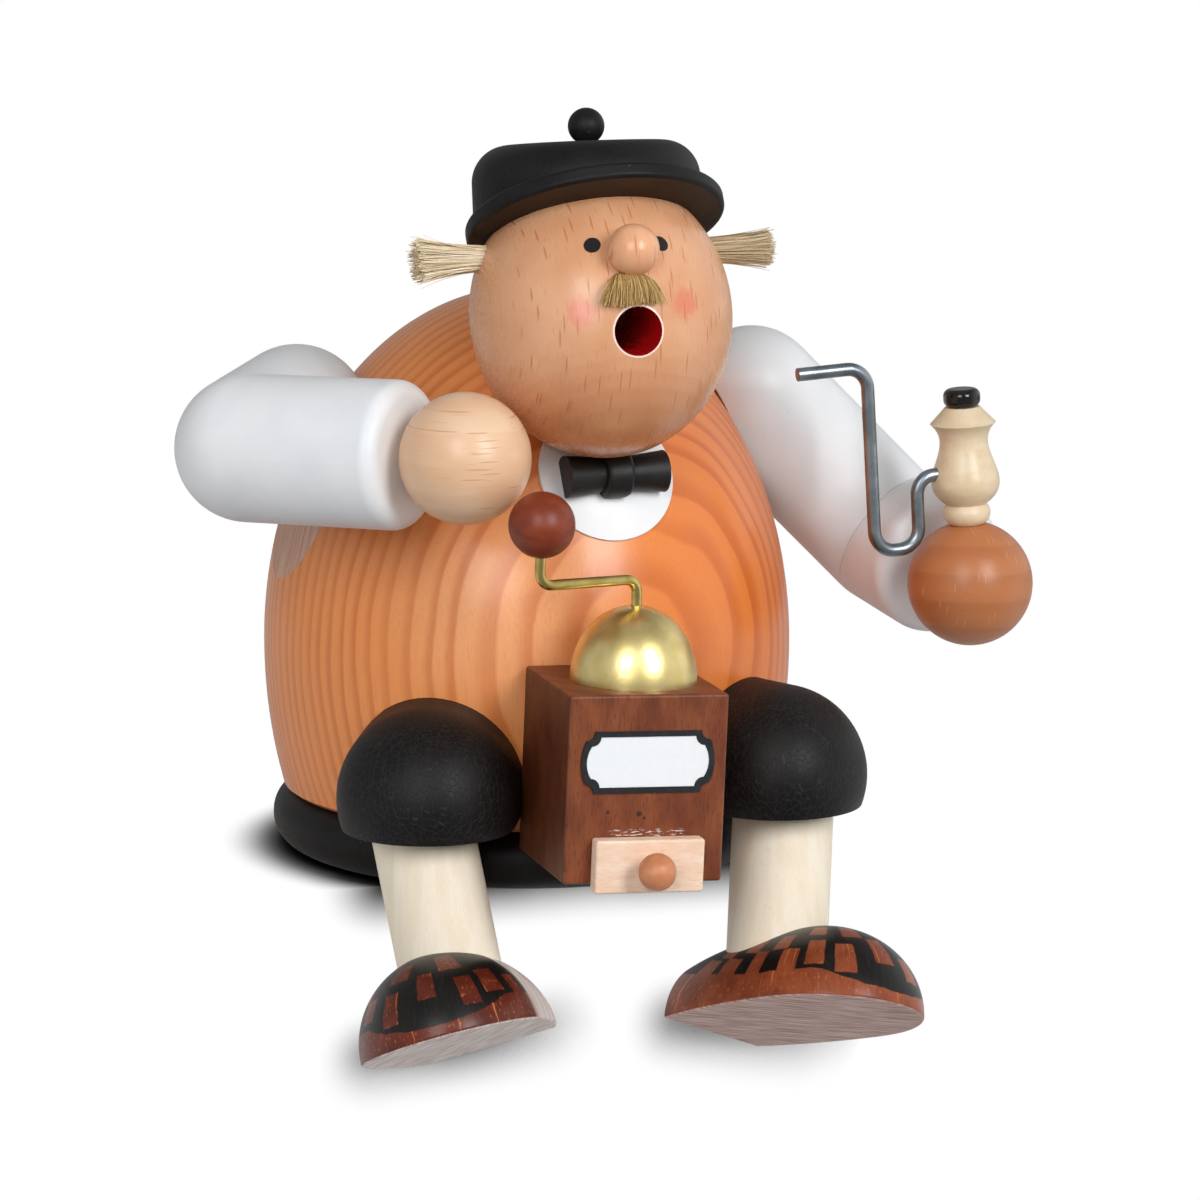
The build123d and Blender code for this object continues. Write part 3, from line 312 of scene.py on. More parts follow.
class Look:
    """A material under construction: a Principled shader and the nodes that feed it."""

    def __init__(self, name, roughness, specular=0.5, metallic=0.0):
        self.material = bpy.data.materials.new(name)
        self.material.use_nodes = True
        self.tree = self.material.node_tree
        self.shader = self.tree.nodes["Principled BSDF"]
        self.shader.inputs["Roughness"].default_value = roughness
        self.shader.inputs["Specular IOR Level"].default_value = specular
        self.shader.inputs["Metallic"].default_value = metallic
        self.coordinates = self.node("TexCoord")
        scaled = self.node("VectorMath", {0: self.coordinates.outputs["Object"]}, operation="SCALE")
        scaled.inputs["Scale"].default_value = 1 / MM
        self.place = scaled.outputs[0]

    def node(self, kind, inputs=None, **settings):
        node = self.tree.nodes.new("ShaderNode" + kind)
        for name, value in settings.items():
            setattr(node, name, value)
        for key, value in (inputs or {}).items():
            self.feed(node.inputs[key], value)
        return node

    def feed(self, socket, value):
        if isinstance(value, Num):
            value = value.socket
        if isinstance(value, bpy.types.NodeSocket):
            self.tree.links.new(value, socket)
        else:
            socket.default_value = value

    def math(self, operation, *values):
        node = self.node("Math", dict(enumerate(values)), operation=operation)
        return Num(self, node.outputs[0])

    def along(self, axis, origin=(0, 0, 0)):
        """How far a point lies along an axis from an origin."""
        offset = self.node("VectorMath", {0: self.place, 1: origin}, operation="SUBTRACT")
        dot = self.node("VectorMath", {0: offset.outputs[0], 1: axis}, operation="DOT_PRODUCT")
        return Num(self, dot.outputs["Value"])

    def inside(self, place):
        """A point's three coordinates in a frame."""
        return tuple(self.along(axis, place.origin) for axis in (place.x, place.y, place.z))

    def away(self, centre):
        """How far a point is from a centre."""
        node = self.node("VectorMath", {0: self.place, 1: centre}, operation="DISTANCE")
        return Num(self, node.outputs["Value"])

    def facing(self, axis):
        """Cosine of the angle between the surface and an axis."""
        node = self.node(
            "VectorMath", {0: self.coordinates.outputs["Normal"], 1: axis}, operation="DOT_PRODUCT"
        )
        return Num(self, node.outputs["Value"])

    def point(self, x, y, z=0.0):
        return self.node("CombineXYZ", {0: x, 1: y, 2: z}).outputs[0]

    def noise(self, x, y, z=0.0, detail=2.0):
        inputs = {"Vector": self.point(x, y, z), "Scale": 1.0, "Detail": detail}
        return Num(self, self.node("TexNoise", inputs).outputs[0])

    def cells(self, x, y, z=None, feature="F1"):
        """Distance to the nearest of scattered points, and a number picked for that point."""
        settings = {"feature": feature, "voronoi_dimensions": "2D" if z is None else "3D"}
        inputs = {"Vector": self.point(x, y, 0.0 if z is None else z), "Scale": 1.0}
        node = self.node("TexVoronoi", inputs, **settings)
        pick = self.node("SeparateColor", {0: node.outputs["Color"]}) if feature == "F1" else None
        return Num(self, node.outputs["Distance"]), pick and Num(self, pick.outputs[0])

    def step(self, value, low, high):
        """0 up to low, 1 from high and smooth between; it falls where low is the larger."""
        inputs = {"Value": value, "From Min": low, "From Max": high}
        node = self.node("MapRange", inputs, interpolation_type="SMOOTHSTEP")
        return Num(self, node.outputs[0])

    def mix(self, share, first, second):
        node = self.node("Mix", {0: share, 6: first, 7: second}, data_type="RGBA")
        return node.outputs[2]

    def colour(self, value):
        self.feed(self.shader.inputs["Base Color"], value)

    def rough(self, value):
        self.feed(self.shader.inputs["Roughness"], value)

    def bump(self, height, depth):
        node = self.node("Bump", {"Height": height, "Distance": depth * MM})
        self.feed(self.shader.inputs["Normal"], node.outputs[0])

    def flecks(self, across, along, width, length, keep=0.4, size=0.2):
        """Short thin dashes that lie along one coordinate."""
        spread, pick = self.cells(across / width, along / length)
        return self.step(spread, size * 1.35, size * 0.65) * self.step(pick, keep, keep + 0.1)

    def rings(self, depth, width, wobble):
        """Growth rings by depth: each darkens slowly and ends sharply."""
        years = depth / width + wobble
        phase = self.math("FRACT", years)
        return self.step(phase, 0.3, 0.8) * self.step(phase, 1.0, 0.86)


def pine_look():
    """Orange lacquered pine in upright growth rings, with a painted highlight under the bib, and
    the shoulder flats paler: bare from sanding, and painted paler still for their sheen.
    """
    look = Look("pine", 0.28, specular=0.42)
    ahead = look.along((math.sin(RING_TURN), -math.cos(RING_TURN), 0))
    side = look.along((math.cos(RING_TURN), math.sin(RING_TURN), 0))
    up = look.along((0, 0, 1))
    drift = look.noise(side / 34, ahead / 34, up / 60) - 0.5
    back = ahead + up * RING_LEAN + RING_PITH
    radius = look.math("SQRT", back * back + side * side) + drift * 4.5
    uneven = (look.noise(radius / 7, 0.0) - 0.5) * 1.3
    ring = look.rings(radius, RING_WIDTH, uneven)
    fibre = look.noise(side / 0.22, ahead / 0.22, up / 7, detail=3)
    strength = look.noise(side / 16, ahead / 16, up / 30) * 0.7 + 0.15
    warm = look.step(look.along((1, 0, 0)), *WARM_SIDE) * 0.75
    early = look.mix(warm, srgb(238, 150, 84), srgb(230, 122, 48))
    late = look.mix(warm, srgb(202, 102, 44), srgb(190, 82, 26))
    # Painted highlight: the early wood turns pale round a point on the front, standing in for the
    # lamps' gloss there
    belly_highlight = look.step(look.away(BELLY_HIGHLIGHT_MIDDLE), *BELLY_HIGHLIGHT_FADE) * 0.7
    early = look.mix(belly_highlight, early, srgb(254, 184, 132))
    wood = look.mix(ring * strength, early, late)
    wood = look.mix(look.step(fibre, 0.5, 0.75) * 0.24, wood, srgb(186, 96, 44))
    scratch = look.noise((up - ahead * 0.6) / 14, (ahead + up * 0.6) / 0.35, detail=3)
    # Bare wood on the sanded shoulder flats, also painted paler as a painted reflection of the
    # white surroundings that the flats catch
    sanded_and_sheen = look.mix(look.step(scratch, 0.4, 0.64), srgb(196, 142, 116), srgb(226, 190, 168))
    flat = shoulder_flats(look)
    look.colour(look.mix(flat, wood, sanded_and_sheen))
    look.rough(fibre * 0.1 + flat * 0.3 + 0.2)
    grain = look.noise(side / 0.5, ahead / 0.5, up / 1.0, detail=2)
    look.bump(grain + ring * 0.06, 0.016)
    return look.material


def shoulder_flats(look):
    """1 on the two flats under the arms."""
    outward = look.math("ABSOLUTE", look.facing((math.cos(SHOULDER_SLOPE), 0, 0)))
    upward = look.facing((0, 0, math.sin(SHOULDER_SLOPE)))
    return look.step(outward + upward, *SHOULDER_FLAT)


def beech_base(look, across, along, ring, light, dark, fleck):
    """Beech: pale wood with faint rings and short reddish ray flecks."""
    fibre = look.noise(across / 0.3, along / 7.0, detail=3)
    cloud = look.noise(across / 11, along / 15, detail=2)
    wood = look.mix(look.step(cloud, 0.3, 0.72), light, dark)
    wood = look.mix(ring, wood, dark)
    wood = look.mix(look.step(fibre, 0.5, 0.8) * 0.13, wood, fleck)
    dashes = look.flecks(across, along, 1.2, 19.0, 0.1, size=0.105)
    fine = look.flecks(across + 37.0, along + 11.0, 0.8, 9.0, 0.4, size=0.1)
    return look.mix(dashes * 0.66 + fine * 0.28, wood, fleck), fibre


def head_look():
    """Beech head with painted eyes and cheeks, a red mouth with a bare rim, and painted shade and
    reflection towards the chin.
    """
    look = Look("head_beech", 0.28, specular=0.55)
    x, y, z = look.inside(HEAD)
    along = look.math("ARCTAN2", z, y * -1.0) * HEAD_RADIUS
    chin = look.rings(z + look.noise(x / 14, z / 14) * 3.0, 2.4, 0.0)
    ring = chin * look.step(z, *CHIN_RINGS) * 0.5
    stains = srgb(226, 170, 130), srgb(214, 154, 112), srgb(178, 98, 54)
    wood, fibre = beech_base(look, x, along, ring, *stains)
    ear = look.step(look.math("ABSOLUTE", x), *EAR_FADE)
    wood = look.mix(ear * 0.8, wood, srgb(218, 160, 118))
    # Painted shade and reflection: the lower face turns deeper orange, standing in for the shade
    # under the head and the orange body's light reflected up onto it
    wood = look.mix(look.step(z, *CHIN_SHADE_AND_REFLECTION) * 0.5, wood, srgb(190, 114, 66))
    daub = look.noise(x / 1.3, z / 1.3, detail=3)
    for cheek in CHEEKS.values():
        spread = look.away(face_point(*cheek)) + (daub - 0.5) * 3.2
        blush = look.step(spread, CHEEK_RADIUS, CHEEK_RADIUS * 0.35) * 0.5
        wood = look.mix(blush, wood, srgb(222, 96, 78))
    for eye in EYES.values():
        spread = look.away(face_point(*eye))
        wood = look.mix(look.step(spread, EYE_RADIUS, EYE_RADIUS - 0.12), wood, srgb(14, 10, 9))
    bore = Vector((math.sin(MOUTH_TURN), -math.cos(MOUTH_TURN), 0))
    offset = look.node("VectorMath", {0: look.place, 1: HEAD.origin}, operation="SUBTRACT")
    cross = look.node("VectorMath", {0: offset.outputs[0], 1: bore}, operation="CROSS_PRODUCT")
    length = look.node("VectorMath", {0: cross.outputs[0]}, operation="LENGTH")
    radius = Num(look, length.outputs["Value"])
    front = look.step(look.along(bore, HEAD.origin), 0.0, 1.0)
    rim = look.step(radius, MOUTH_RADIUS + MOUTH_RIM, MOUTH_RADIUS + MOUTH_RIM - 0.1) * front
    lining = look.step(radius, MOUTH_RADIUS + 0.06, MOUTH_RADIUS + 0.02) * front
    wood = look.mix(rim, wood, srgb(244, 226, 214))
    red = look.mix(look.noise(x / 0.8, y / 0.8, z / 0.8), srgb(176, 12, 16), srgb(206, 22, 26))
    look.colour(look.mix(lining, wood, red))
    look.rough(fibre * 0.06 + 0.24)
    look.bump(fibre, 0.002)
    return look.material


def nose_look():
    """Beech bead with faint rings across it."""
    look = Look("nose_beech", 0.28, specular=0.45)
    x, y, z = look.inside(HEAD)
    ring = look.rings(x + look.noise(y / 6, z / 6) * 2.0, 2.6, 0.0) * 0.3
    stains = srgb(236, 178, 138), srgb(220, 158, 116), srgb(182, 112, 72)
    wood, fibre = beech_base(look, x, z, ring, *stains)
    look.colour(wood)
    look.bump(fibre, 0.008)
    return look.material


def right_hand_look():
    """Pale beech bead with faint arcs across it."""
    look = Look("right_hand_beech", 0.32, specular=0.42)
    x = look.along((0.95, 0.3, 0.05))
    y = look.along((-0.3, 0.95, 0.1))
    z = look.along((0, 0, 1))
    wander = look.noise(x / 9, y / 9, z / 9) * 3.0
    ring = look.rings(z + wander, 5.6, 0.2) * 0.4
    stains = srgb(236, 202, 170), srgb(226, 180, 142), srgb(200, 146, 108)
    wood, fibre = beech_base(look, z, x, ring, *stains)
    look.colour(wood)
    look.bump(fibre, 0.01)
    return look.material


def left_hand_look():
    """Tan beech bead with level rings and short pale rays that cross them."""
    look = Look("left_hand_beech", 0.36, specular=0.42)
    x = look.along((1, 0, 0))
    y = look.along((0, 1, 0))
    z = look.along((0.02, 0.05, 1))
    ring = look.rings(z + look.noise(x / 14, y / 14) * 0.9, 5.3, 0.35)
    fibre = look.noise(x / 2.2, y / 2.2, z / 0.24, detail=3)
    wood = look.mix(ring * 0.3, srgb(190, 120, 76), srgb(160, 92, 52))
    wood = look.mix(look.step(fibre, 0.46, 0.72) * 0.16, wood, srgb(154, 88, 50))
    rays = look.flecks(x, z, 1.1, 9.0, 0.55, size=0.1)
    wood = look.mix(rays * 0.4, wood, srgb(220, 160, 114))
    look.colour(wood)
    look.bump(fibre, 0.008)
    return look.material


def black_look(name, crackle, under=None, specular=0.2):
    """Black stain over wood, with grain and a fine crackle; what faces `under` is bare brown wood,
    painted darker as the shade beneath it.
    """
    look = Look(name, 0.44, specular=specular)
    x, y, z = look.inside(ROW)
    grain = look.noise(x / 0.35, y / 0.35, z / 4.5, detail=3)
    cloud = look.noise(x / 8, y / 8, z / 8, detail=2)
    edge, _ = look.cells(x / 1.1, y / 1.1, z / 1.6, feature="DISTANCE_TO_EDGE")
    crack = look.step(edge, 0.06, 0.015)
    speck, pick = look.cells(x / 2.6, y / 2.6, z / 2.6)
    dust = look.step(speck, 0.06, 0.03) * look.step(pick, 0.72, 0.74)
    stain = look.mix(look.step(cloud, 0.35, 0.7), srgb(15, 14, 14), srgb(24, 22, 22))
    stain = look.mix(look.step(grain, 0.5, 0.78) * 0.4, stain, srgb(40, 35, 32))
    stain = look.mix(dust * 0.4, stain, srgb(120, 116, 112))
    stain = look.mix(crack * (crackle * 0.35), stain, srgb(58, 54, 52))
    if under is not None:
        # Bare brown wood on what faces `under`, painted nearly black-brown as painted shade
        # standing in for the shade it lies in
        bare = look.mix(look.step(grain, 0.35, 0.7), srgb(26, 13, 6), srgb(38, 21, 10))
        stain = look.mix(look.step(look.facing(under), 0.9, 0.97), stain, bare)
    look.colour(stain)
    look.rough(cloud * 0.16 + grain * 0.12 + 0.34)
    look.bump(grain * 0.7 - crack * crackle, 0.045)
    return look.material


def white_look():
    """Satin white paint over turned wood: faint brush lines and a slightly uneven gloss."""
    look = Look("white_paint", 0.38, specular=0.45)
    x, y, z = look.inside(ROW)
    brush = look.noise(x / 0.3, y / 2.5, z / 2.5, detail=3)
    cloud = look.noise(x / 12, y / 12, z / 12)
    speck, pick = look.cells(x / 4.5, y / 4.5, z / 4.5)
    dust = look.step(speck, 0.05, 0.02) * look.step(pick, 0.8, 0.82)
    paint = look.mix(look.step(cloud, 0.35, 0.7), srgb(238, 240, 243), srgb(232, 235, 238))
    look.colour(look.mix(dust * 0.3, paint, srgb(180, 176, 170)))
    look.rough(brush * 0.12 + cloud * 0.08 + 0.3)
    look.bump(brush, 0.008)
    return look.material


def dowel_look(name, light, dark, fleck):
    """Pale dowel wood with long fine grain."""
    look = Look(name, 0.5, specular=0.35)
    x = look.along((1, 0, 0))
    y = look.along((0, 1, 0))
    z = look.along((0, 0.25, 1))
    fibre = look.noise(x / 0.32, y / 0.32, z / 14, detail=3)
    band = look.noise(x / 3.0, y / 3.0, z / 45)
    wood = look.mix(look.step(band, 0.35, 0.7), light, dark)
    wood = look.mix(look.step(fibre, 0.48, 0.8) * 0.22, wood, fleck)
    pores = look.flecks(x + y, z, 0.55, 3.4, 0.6, size=0.14)
    look.colour(look.mix(pores * 0.18, wood, fleck))
    look.rough(fibre * 0.2 + 0.42)
    look.bump(fibre, 0.012)
    return look.material


def shoe_frame(side):
    origin, toe, up = SHOE_PLACES[side]
    return Frame(origin, toe, up)


def patches(look, turn, rise, side):
    """1 on the brown patches of a shoe; the side that the photo hides goes on evenly."""
    hidden = []
    for shift, *sizes in HIDDEN_ROWS:
        hidden += [(place + shift, *sizes) for place in HIDDEN_PATCHES[side]]
    total = None
    for place, height, wide, tall in (*PATCHES[side], *hidden):
        across = look.math("ABSOLUTE", turn - place) / wide
        along = look.math("ABSOLUTE", rise - height) / tall
        patch = look.step(look.math("MAXIMUM", across, along), 1.04, 0.96)
        total = patch if total is None else look.math("MAXIMUM", total, patch)
    return total


def shoe_look(side):
    """Red-brown slipper with black chequers round a black toe, and a bare sole."""
    look = Look(f"{side}_shoe_stain", 0.34, specular=0.3)
    x, y, z = look.inside(shoe_frame(side))
    level = look.math("SQRT", x * x + y * y)
    shake = look.noise(x / 2.0, y / 2.0, z / 2.0, detail=2) - 0.5
    turn = look.math("ARCTAN2", y, x) * (180 / math.pi) + shake * 2.0
    rise = look.math("ARCTAN2", z, level) * (180 / math.pi) + shake * 2.0
    offset = turn - TOE_CENTRE[side]
    border = look.math("MINIMUM", offset * offset * TOE_CURVE + TOE_LOW, TOE_HIGH)
    black = look.step(rise - border, -0.35, 0.35) * (1 - patches(look, turn, rise, side))
    fibre = look.noise(x / 2.5, y / 0.35, z / 3.0, detail=3)
    cloud = look.noise(x / 6, y / 6, z / 6)
    stain = look.mix(look.step(cloud, 0.3, 0.7), *SHOE_STAINS[side])
    flecks = look.noise(turn / 1.6, rise / 3.2, detail=1)
    stain = look.mix(look.step(flecks, 0.62, 0.72) * 0.6, stain, srgb(188, 112, 66))
    rays = look.step(look.noise(turn / 2.3, rise / 60, detail=1), 0.655, 0.7)
    stain = look.mix(rays * 0.8, stain, srgb(206, 118, 62))
    stain = look.mix(look.step(fibre, 0.5, 0.8) * 0.35, stain, srgb(72, 26, 15))
    paint = look.mix(look.step(fibre, 0.45, 0.8), srgb(17, 15, 14), srgb(32, 29, 27))
    upper = look.mix(black, stain, paint)
    streak = look.noise((x + y) / 13, (x - y) / 0.9, detail=4)
    # The sole's bare wood; on the right shoe its colour carries painted light
    bare = look.mix(look.step(streak, 0.38, 0.62), *SOLE_WOOD_AND_PAINTED_LIGHT[side])
    sole = look.math("MAXIMUM", look.step(z, *SOLE_EDGE), look.step(turn, *HEEL_PALE[side]))
    look.colour(look.mix(sole, upper, bare))
    look.rough(sole * 0.3 + black * 0.06 + 0.3)
    look.bump(fibre * (1 - sole) + streak * sole, 0.02)
    return look.material


def mill_look():
    """Dark brown stained block with upright grain, small knots, a scuff above the drawer, and
    painted shade on its left face.
    """
    look = Look("mill_stain", 0.46, specular=0.4)
    x, y, z = look.inside(MILL)
    across = x + y
    fibre = look.noise(across / 0.28, z / 5.0, detail=3)
    cloud = look.noise(across / 6, z / 14)
    stain = look.mix(look.step(cloud, 0.3, 0.72), srgb(108, 50, 24), srgb(140, 76, 42))
    stain = look.mix(look.step(fibre, 0.48, 0.75) * 0.5, stain, srgb(70, 28, 12))
    pores = look.flecks(across, z, 0.5, 3.4, 0.35, size=0.16)
    stain = look.mix(pores * 0.5, stain, srgb(58, 28, 16))
    # Painted shade: the block's left face is darker, standing in for the shade on that side
    stain = look.mix(look.step(look.facing(-MILL.x), 0.6, 0.9) * 0.55, stain, srgb(52, 20, 6))
    front = look.step(y, *MILL_FRONT)
    for knot_x, knot_z, size in KNOTS:
        dx = (x - knot_x) / size
        dz = (z - knot_z) / size
        spot = look.step(look.math("SQRT", dx * dx + dz * dz) + fibre * 0.7, 1.5, 0.9) * front
        stain = look.mix(spot * 0.85, stain, srgb(44, 24, 20))
    smear = look.noise(x / 1.6, z / 0.3, detail=4)
    strip = look.step(look.math("ABSOLUTE", z - SCUFF_PLACE[1]), *SCUFF_UP)
    strip = strip * look.step(look.math("ABSOLUTE", x - SCUFF_PLACE[0]), *SCUFF_ACROSS) * front
    scuff = look.step(smear, 0.52, 0.62) * strip
    look.colour(look.mix(scuff * 0.8, stain, srgb(226, 214, 206)))
    look.rough(fibre * 0.16 + 0.38)
    look.bump(fibre - pores * 0.8, 0.025)
    return look.material


def bead_look(name, light, dark, gloss):
    """A small stained bead with fine turned rings."""
    look = Look(name, gloss, specular=0.4)
    x, y, z = look.inside(ROW)
    band = look.noise(x / 4, y / 4, z / 1.6, detail=3)
    fibre = look.noise(x / 1.4, y / 1.4, z / 0.22, detail=3)
    wood = look.mix(look.step(band, 0.3, 0.72) * 0.45 + 0.3, dark, light)
    wood = look.mix(look.step(fibre, 0.5, 0.75) * 0.28, wood, dark)
    look.colour(wood)
    look.rough(fibre * 0.15 + gloss - 0.06)
    look.bump(fibre, 0.012)
    return look.material


def drawer_look():
    """Bare pale beech with fine level grain."""
    look = Look("drawer_beech", 0.55, specular=0.35)
    x, y, z = look.inside(MILL)
    fibre = look.noise(x / 3.5, y / 3.5, z / 0.2, detail=3)
    cloud = look.noise(x / 5, y / 5, z / 2.0)
    wood = look.mix(look.step(cloud, 0.3, 0.7), srgb(250, 224, 202), srgb(242, 206, 178))
    pores = look.flecks(z, x, 0.5, 3.0, 0.5, size=0.15)
    wood = look.mix(look.step(fibre, 0.5, 0.8) * 0.3 + pores * 0.3, wood, srgb(214, 162, 126))
    look.colour(wood)
    look.bump(fibre - pores * 0.6, 0.015)
    return look.material


def maple_look():
    """Pale lacquered maple, turned, with faint upright grain."""
    look = Look("maple", 0.34, specular=0.42)
    x = look.along((1, 0, 0))
    y = look.along((0, 1, 0))
    z = look.along((-0.06, 0, 1))
    fibre = look.noise(x / 0.3, y / 0.3, z / 5.0, detail=3)
    band = look.noise(x / 5, y / 5, z / 2.2)
    wood = look.mix(look.step(band, 0.35, 0.7), srgb(230, 211, 180), srgb(224, 201, 166))
    look.colour(look.mix(look.step(fibre, 0.5, 0.8) * 0.3, wood, srgb(206, 172, 124)))
    look.bump(fibre, 0.008)
    return look.material


def metal_look(name, light, dark, roughness, grain, depth):
    """Metal with a slightly uneven, fine-grained finish."""
    look = Look(name, roughness, metallic=1.0)
    x, y, z = look.inside(ROW)
    cloud = look.noise(x / 3.5, y / 3.5, z / 3.5, detail=3)
    fine = look.noise(x / grain, y / grain, z / grain, detail=2)
    look.colour(look.mix(look.step(cloud, 0.3, 0.7), light, dark))
    look.rough(cloud * 0.14 + roughness - 0.06)
    look.bump(fine, depth)
    return look.material


def plastic_look(name, light, dark, roughness):
    """Printed card or a gloss bead: nearly even, with a faint mottle."""
    look = Look(name, roughness, specular=0.5)
    x, y, z = look.inside(ROW)
    mottle = look.noise(x / 1.2, y / 1.2, z / 1.2, detail=3)
    look.colour(look.mix(look.step(mottle, 0.35, 0.7), light, dark))
    look.rough(mottle * 0.1 + roughness - 0.05)
    look.bump(mottle, 0.006)
    return look.material


def bristle_look(name, dark, light):
    """Natural bristle whose strands differ in colour."""
    look = Look(name, 0.5, specular=0.35)
    shade = Num(look, look.node("Attribute", attribute_name="shade").outputs["Fac"])
    look.colour(look.mix(shade, dark, light))
    return look.material


def dress(material, *nodes):
    """Gives CAD nodes a material."""
    for node in nodes:
        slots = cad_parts[node].data.materials
        slots.clear()
        slots.append(material)


def strand_mesh(name, strands):
    """A mesh of thin tapered strands; each strand is a line of points, a radius and a shade."""
    points = []
    faces = []
    shades = []
    for line, radius, shade in strands:
        first = len(points)
        run = (line[-1] - line[0]).normalized()
        side = run.orthogonal().normalized()
        other = run.cross(side)
        for index, centre in enumerate(line):
            width = radius * (1 - STRAND_TAPER * index / (len(line) - 1))
            for corner in range(STRAND_SIDES):
                turn = 2 * math.pi * corner / STRAND_SIDES
                spoke = side * math.cos(turn) + other * math.sin(turn)
                points.append((centre + spoke * width) * MM)
                shades.append(shade)
        for ring in range(len(line) - 1):
            low = first + ring * STRAND_SIDES
            high = low + STRAND_SIDES
            for corner in range(STRAND_SIDES):
                after = (corner + 1) % STRAND_SIDES
                faces.append((low + corner, low + after, high + after, high + corner))
        last = len(points) - STRAND_SIDES
        faces.append(tuple(first + corner for corner in reversed(range(STRAND_SIDES))))
        faces.append(tuple(last + corner for corner in range(STRAND_SIDES)))
    mesh = bpy.data.meshes.new(name)
    mesh.from_pydata(points, [], faces)
    mesh.attributes.new("shade", "FLOAT", "POINT").data.foreach_set("value", shades)
    mesh.update()
    piece = bpy.data.objects.new(name, mesh)
    bpy.context.scene.collection.objects.link(piece)
    return piece


def bent(start, pull, end):
    """Points along a smooth bend from start to end, drawn towards pull."""
    line = []
    for index in range(STRAND_STEPS + 1):
        share = index / STRAND_STEPS
        line.append(start * (1 - share) ** 2 + pull * (2 * share * (1 - share)) + end * share**2)
    return line


def disc_spot(dice):
    """A random place in a unit disc."""
    reach = math.sqrt(dice.random())
    turn = dice.uniform(0, 2 * math.pi)
    return reach * math.cos(turn), reach * math.sin(turn)


def make_tuft(side, material):
    """A bundle of straight bristles out of the head's side, cut square with a few strays."""
    sign = -1 if side == "right" else 1
    dice = random.Random(STRAND_SEED + sign)
    level = HEAD_RADIUS**2 * (1 - (TUFT_HEIGHT / HEAD_HALF_HEIGHT) ** 2)
    reach = math.sqrt(level - TUFT_FORWARD**2)
    root = Frame(HEAD.point(sign * reach, -TUFT_FORWARD, TUFT_HEIGHT), HEAD.z, (sign, 0, 0))
    middle = TUFT_ROOT + TUFT_SWELL
    strands = []
    for _ in range(TUFT_STRANDS):
        u, v = disc_spot(dice)
        tip = TUFT_TIPS[side] * (STRAY_SPREAD if dice.random() < STRAY_SHARE else 1.0)
        length = TUFT_LENGTH * dice.uniform(*TUFT_CUT)
        start = root.point(u * TUFT_ROOT, v * TUFT_ROOT, -TUFT_DEPTH)
        end_u = u * tip + dice.gauss(0, TUFT_JITTER["tip"])
        end_v = v * tip + dice.gauss(0, TUFT_JITTER["tip"])
        pull_u = u * middle + dice.gauss(0, TUFT_JITTER["middle"])
        pull_v = v * middle + dice.gauss(0, TUFT_JITTER["middle"])
        end = root.point(end_u, end_v, length)
        pull = root.point(pull_u, pull_v, length * TUFT_BEND)
        radius = STRAND_RADIUS * dice.uniform(STRAND_THIN, STRAND_THICK["tuft"])
        strands.append((bent(start, pull, end), radius, dice.random()))
    tuft = strand_mesh(f"{side}_hair_bristles", strands)
    finish_bristles(tuft, f"{side}_hair_tuft", material)


def make_moustache(material):
    """A short full brush that comes out under the nose and hangs down to the mouth's rim."""
    dice = random.Random(STRAND_SEED)
    outward = HEAD.y * -math.cos(MOUSTACHE_DROOP) - HEAD.z * math.sin(MOUSTACHE_DROOP)
    root = Frame(face_point(*MOUSTACHE_PLACE), (1, 0, 0), outward)
    strands = []
    for _ in range(MOUSTACHE_STRANDS):
        u, v = disc_spot(dice)
        start = root.point(u * MOUSTACHE_ROOT[0], v * MOUSTACHE_ROOT[1], -MOUSTACHE_DEPTH)
        spread = u * MOUSTACHE_TIP[0] + dice.gauss(0, MOUSTACHE_JITTER["across"])
        drop = MOUSTACHE_DROP * dice.uniform(*MOUSTACHE_CUT)
        out = MOUSTACHE_OUT["tip"] + v * MOUSTACHE_TIP[1] + dice.gauss(0, MOUSTACHE_JITTER["out"])
        end = root.point(spread, -drop, out)
        rise = MOUSTACHE_RISE + v * MOUSTACHE_BEND[1]
        pull = root.point(u * MOUSTACHE_BEND[0], rise, MOUSTACHE_OUT["bend"] + v)
        radius = STRAND_RADIUS * dice.uniform(STRAND_THIN, STRAND_THICK["moustache"])
        strands.append((bent(start, pull, end), radius, dice.random()))
    finish_bristles(strand_mesh("moustache_bristles", strands), "moustache", material)


def finish_bristles(piece, node, material):
    piece.data.materials.append(material)
    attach(piece, "figure")
    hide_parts(node)


def make_camera():
    data = bpy.data.cameras.new("camera")
    data.lens = CAMERA_LENS
    data.sensor_width = CAMERA_SENSOR
    camera = bpy.data.objects.new("camera", data)
    back = direction(CAMERA_AZIMUTH, CAMERA_ELEVATION)
    camera.location = CAMERA_TARGET + back * CAMERA_DISTANCE
    camera.rotation_mode = "QUATERNION"
    camera.rotation_quaternion = (-back).to_track_quat("-Z", "Y")
    bpy.context.scene.collection.objects.link(camera)
    bpy.context.scene.camera = camera


def make_shelf():
    """A plain white shelf for the figure; its front face goes on down behind the shoes."""
    lines = [(SHELF_REACH, -SHELF_GAP), (SHELF_FRONT, -SHELF_GAP), (SHELF_FRONT, -SHELF_REACH)]
    points = [(x, y, z) for y, z in lines for x in (-SHELF_REACH, SHELF_REACH)]
    faces = [(row * 2, row * 2 + 1, row * 2 + 3, row * 2 + 2) for row in range(len(lines) - 1)]
    mesh = bpy.data.meshes.new("shelf")
    mesh.from_pydata(points, [], faces)
    shelf = bpy.data.objects.new("shelf", mesh)
    bpy.context.scene.collection.objects.link(shelf)
    mesh.materials.append(shelf_look())


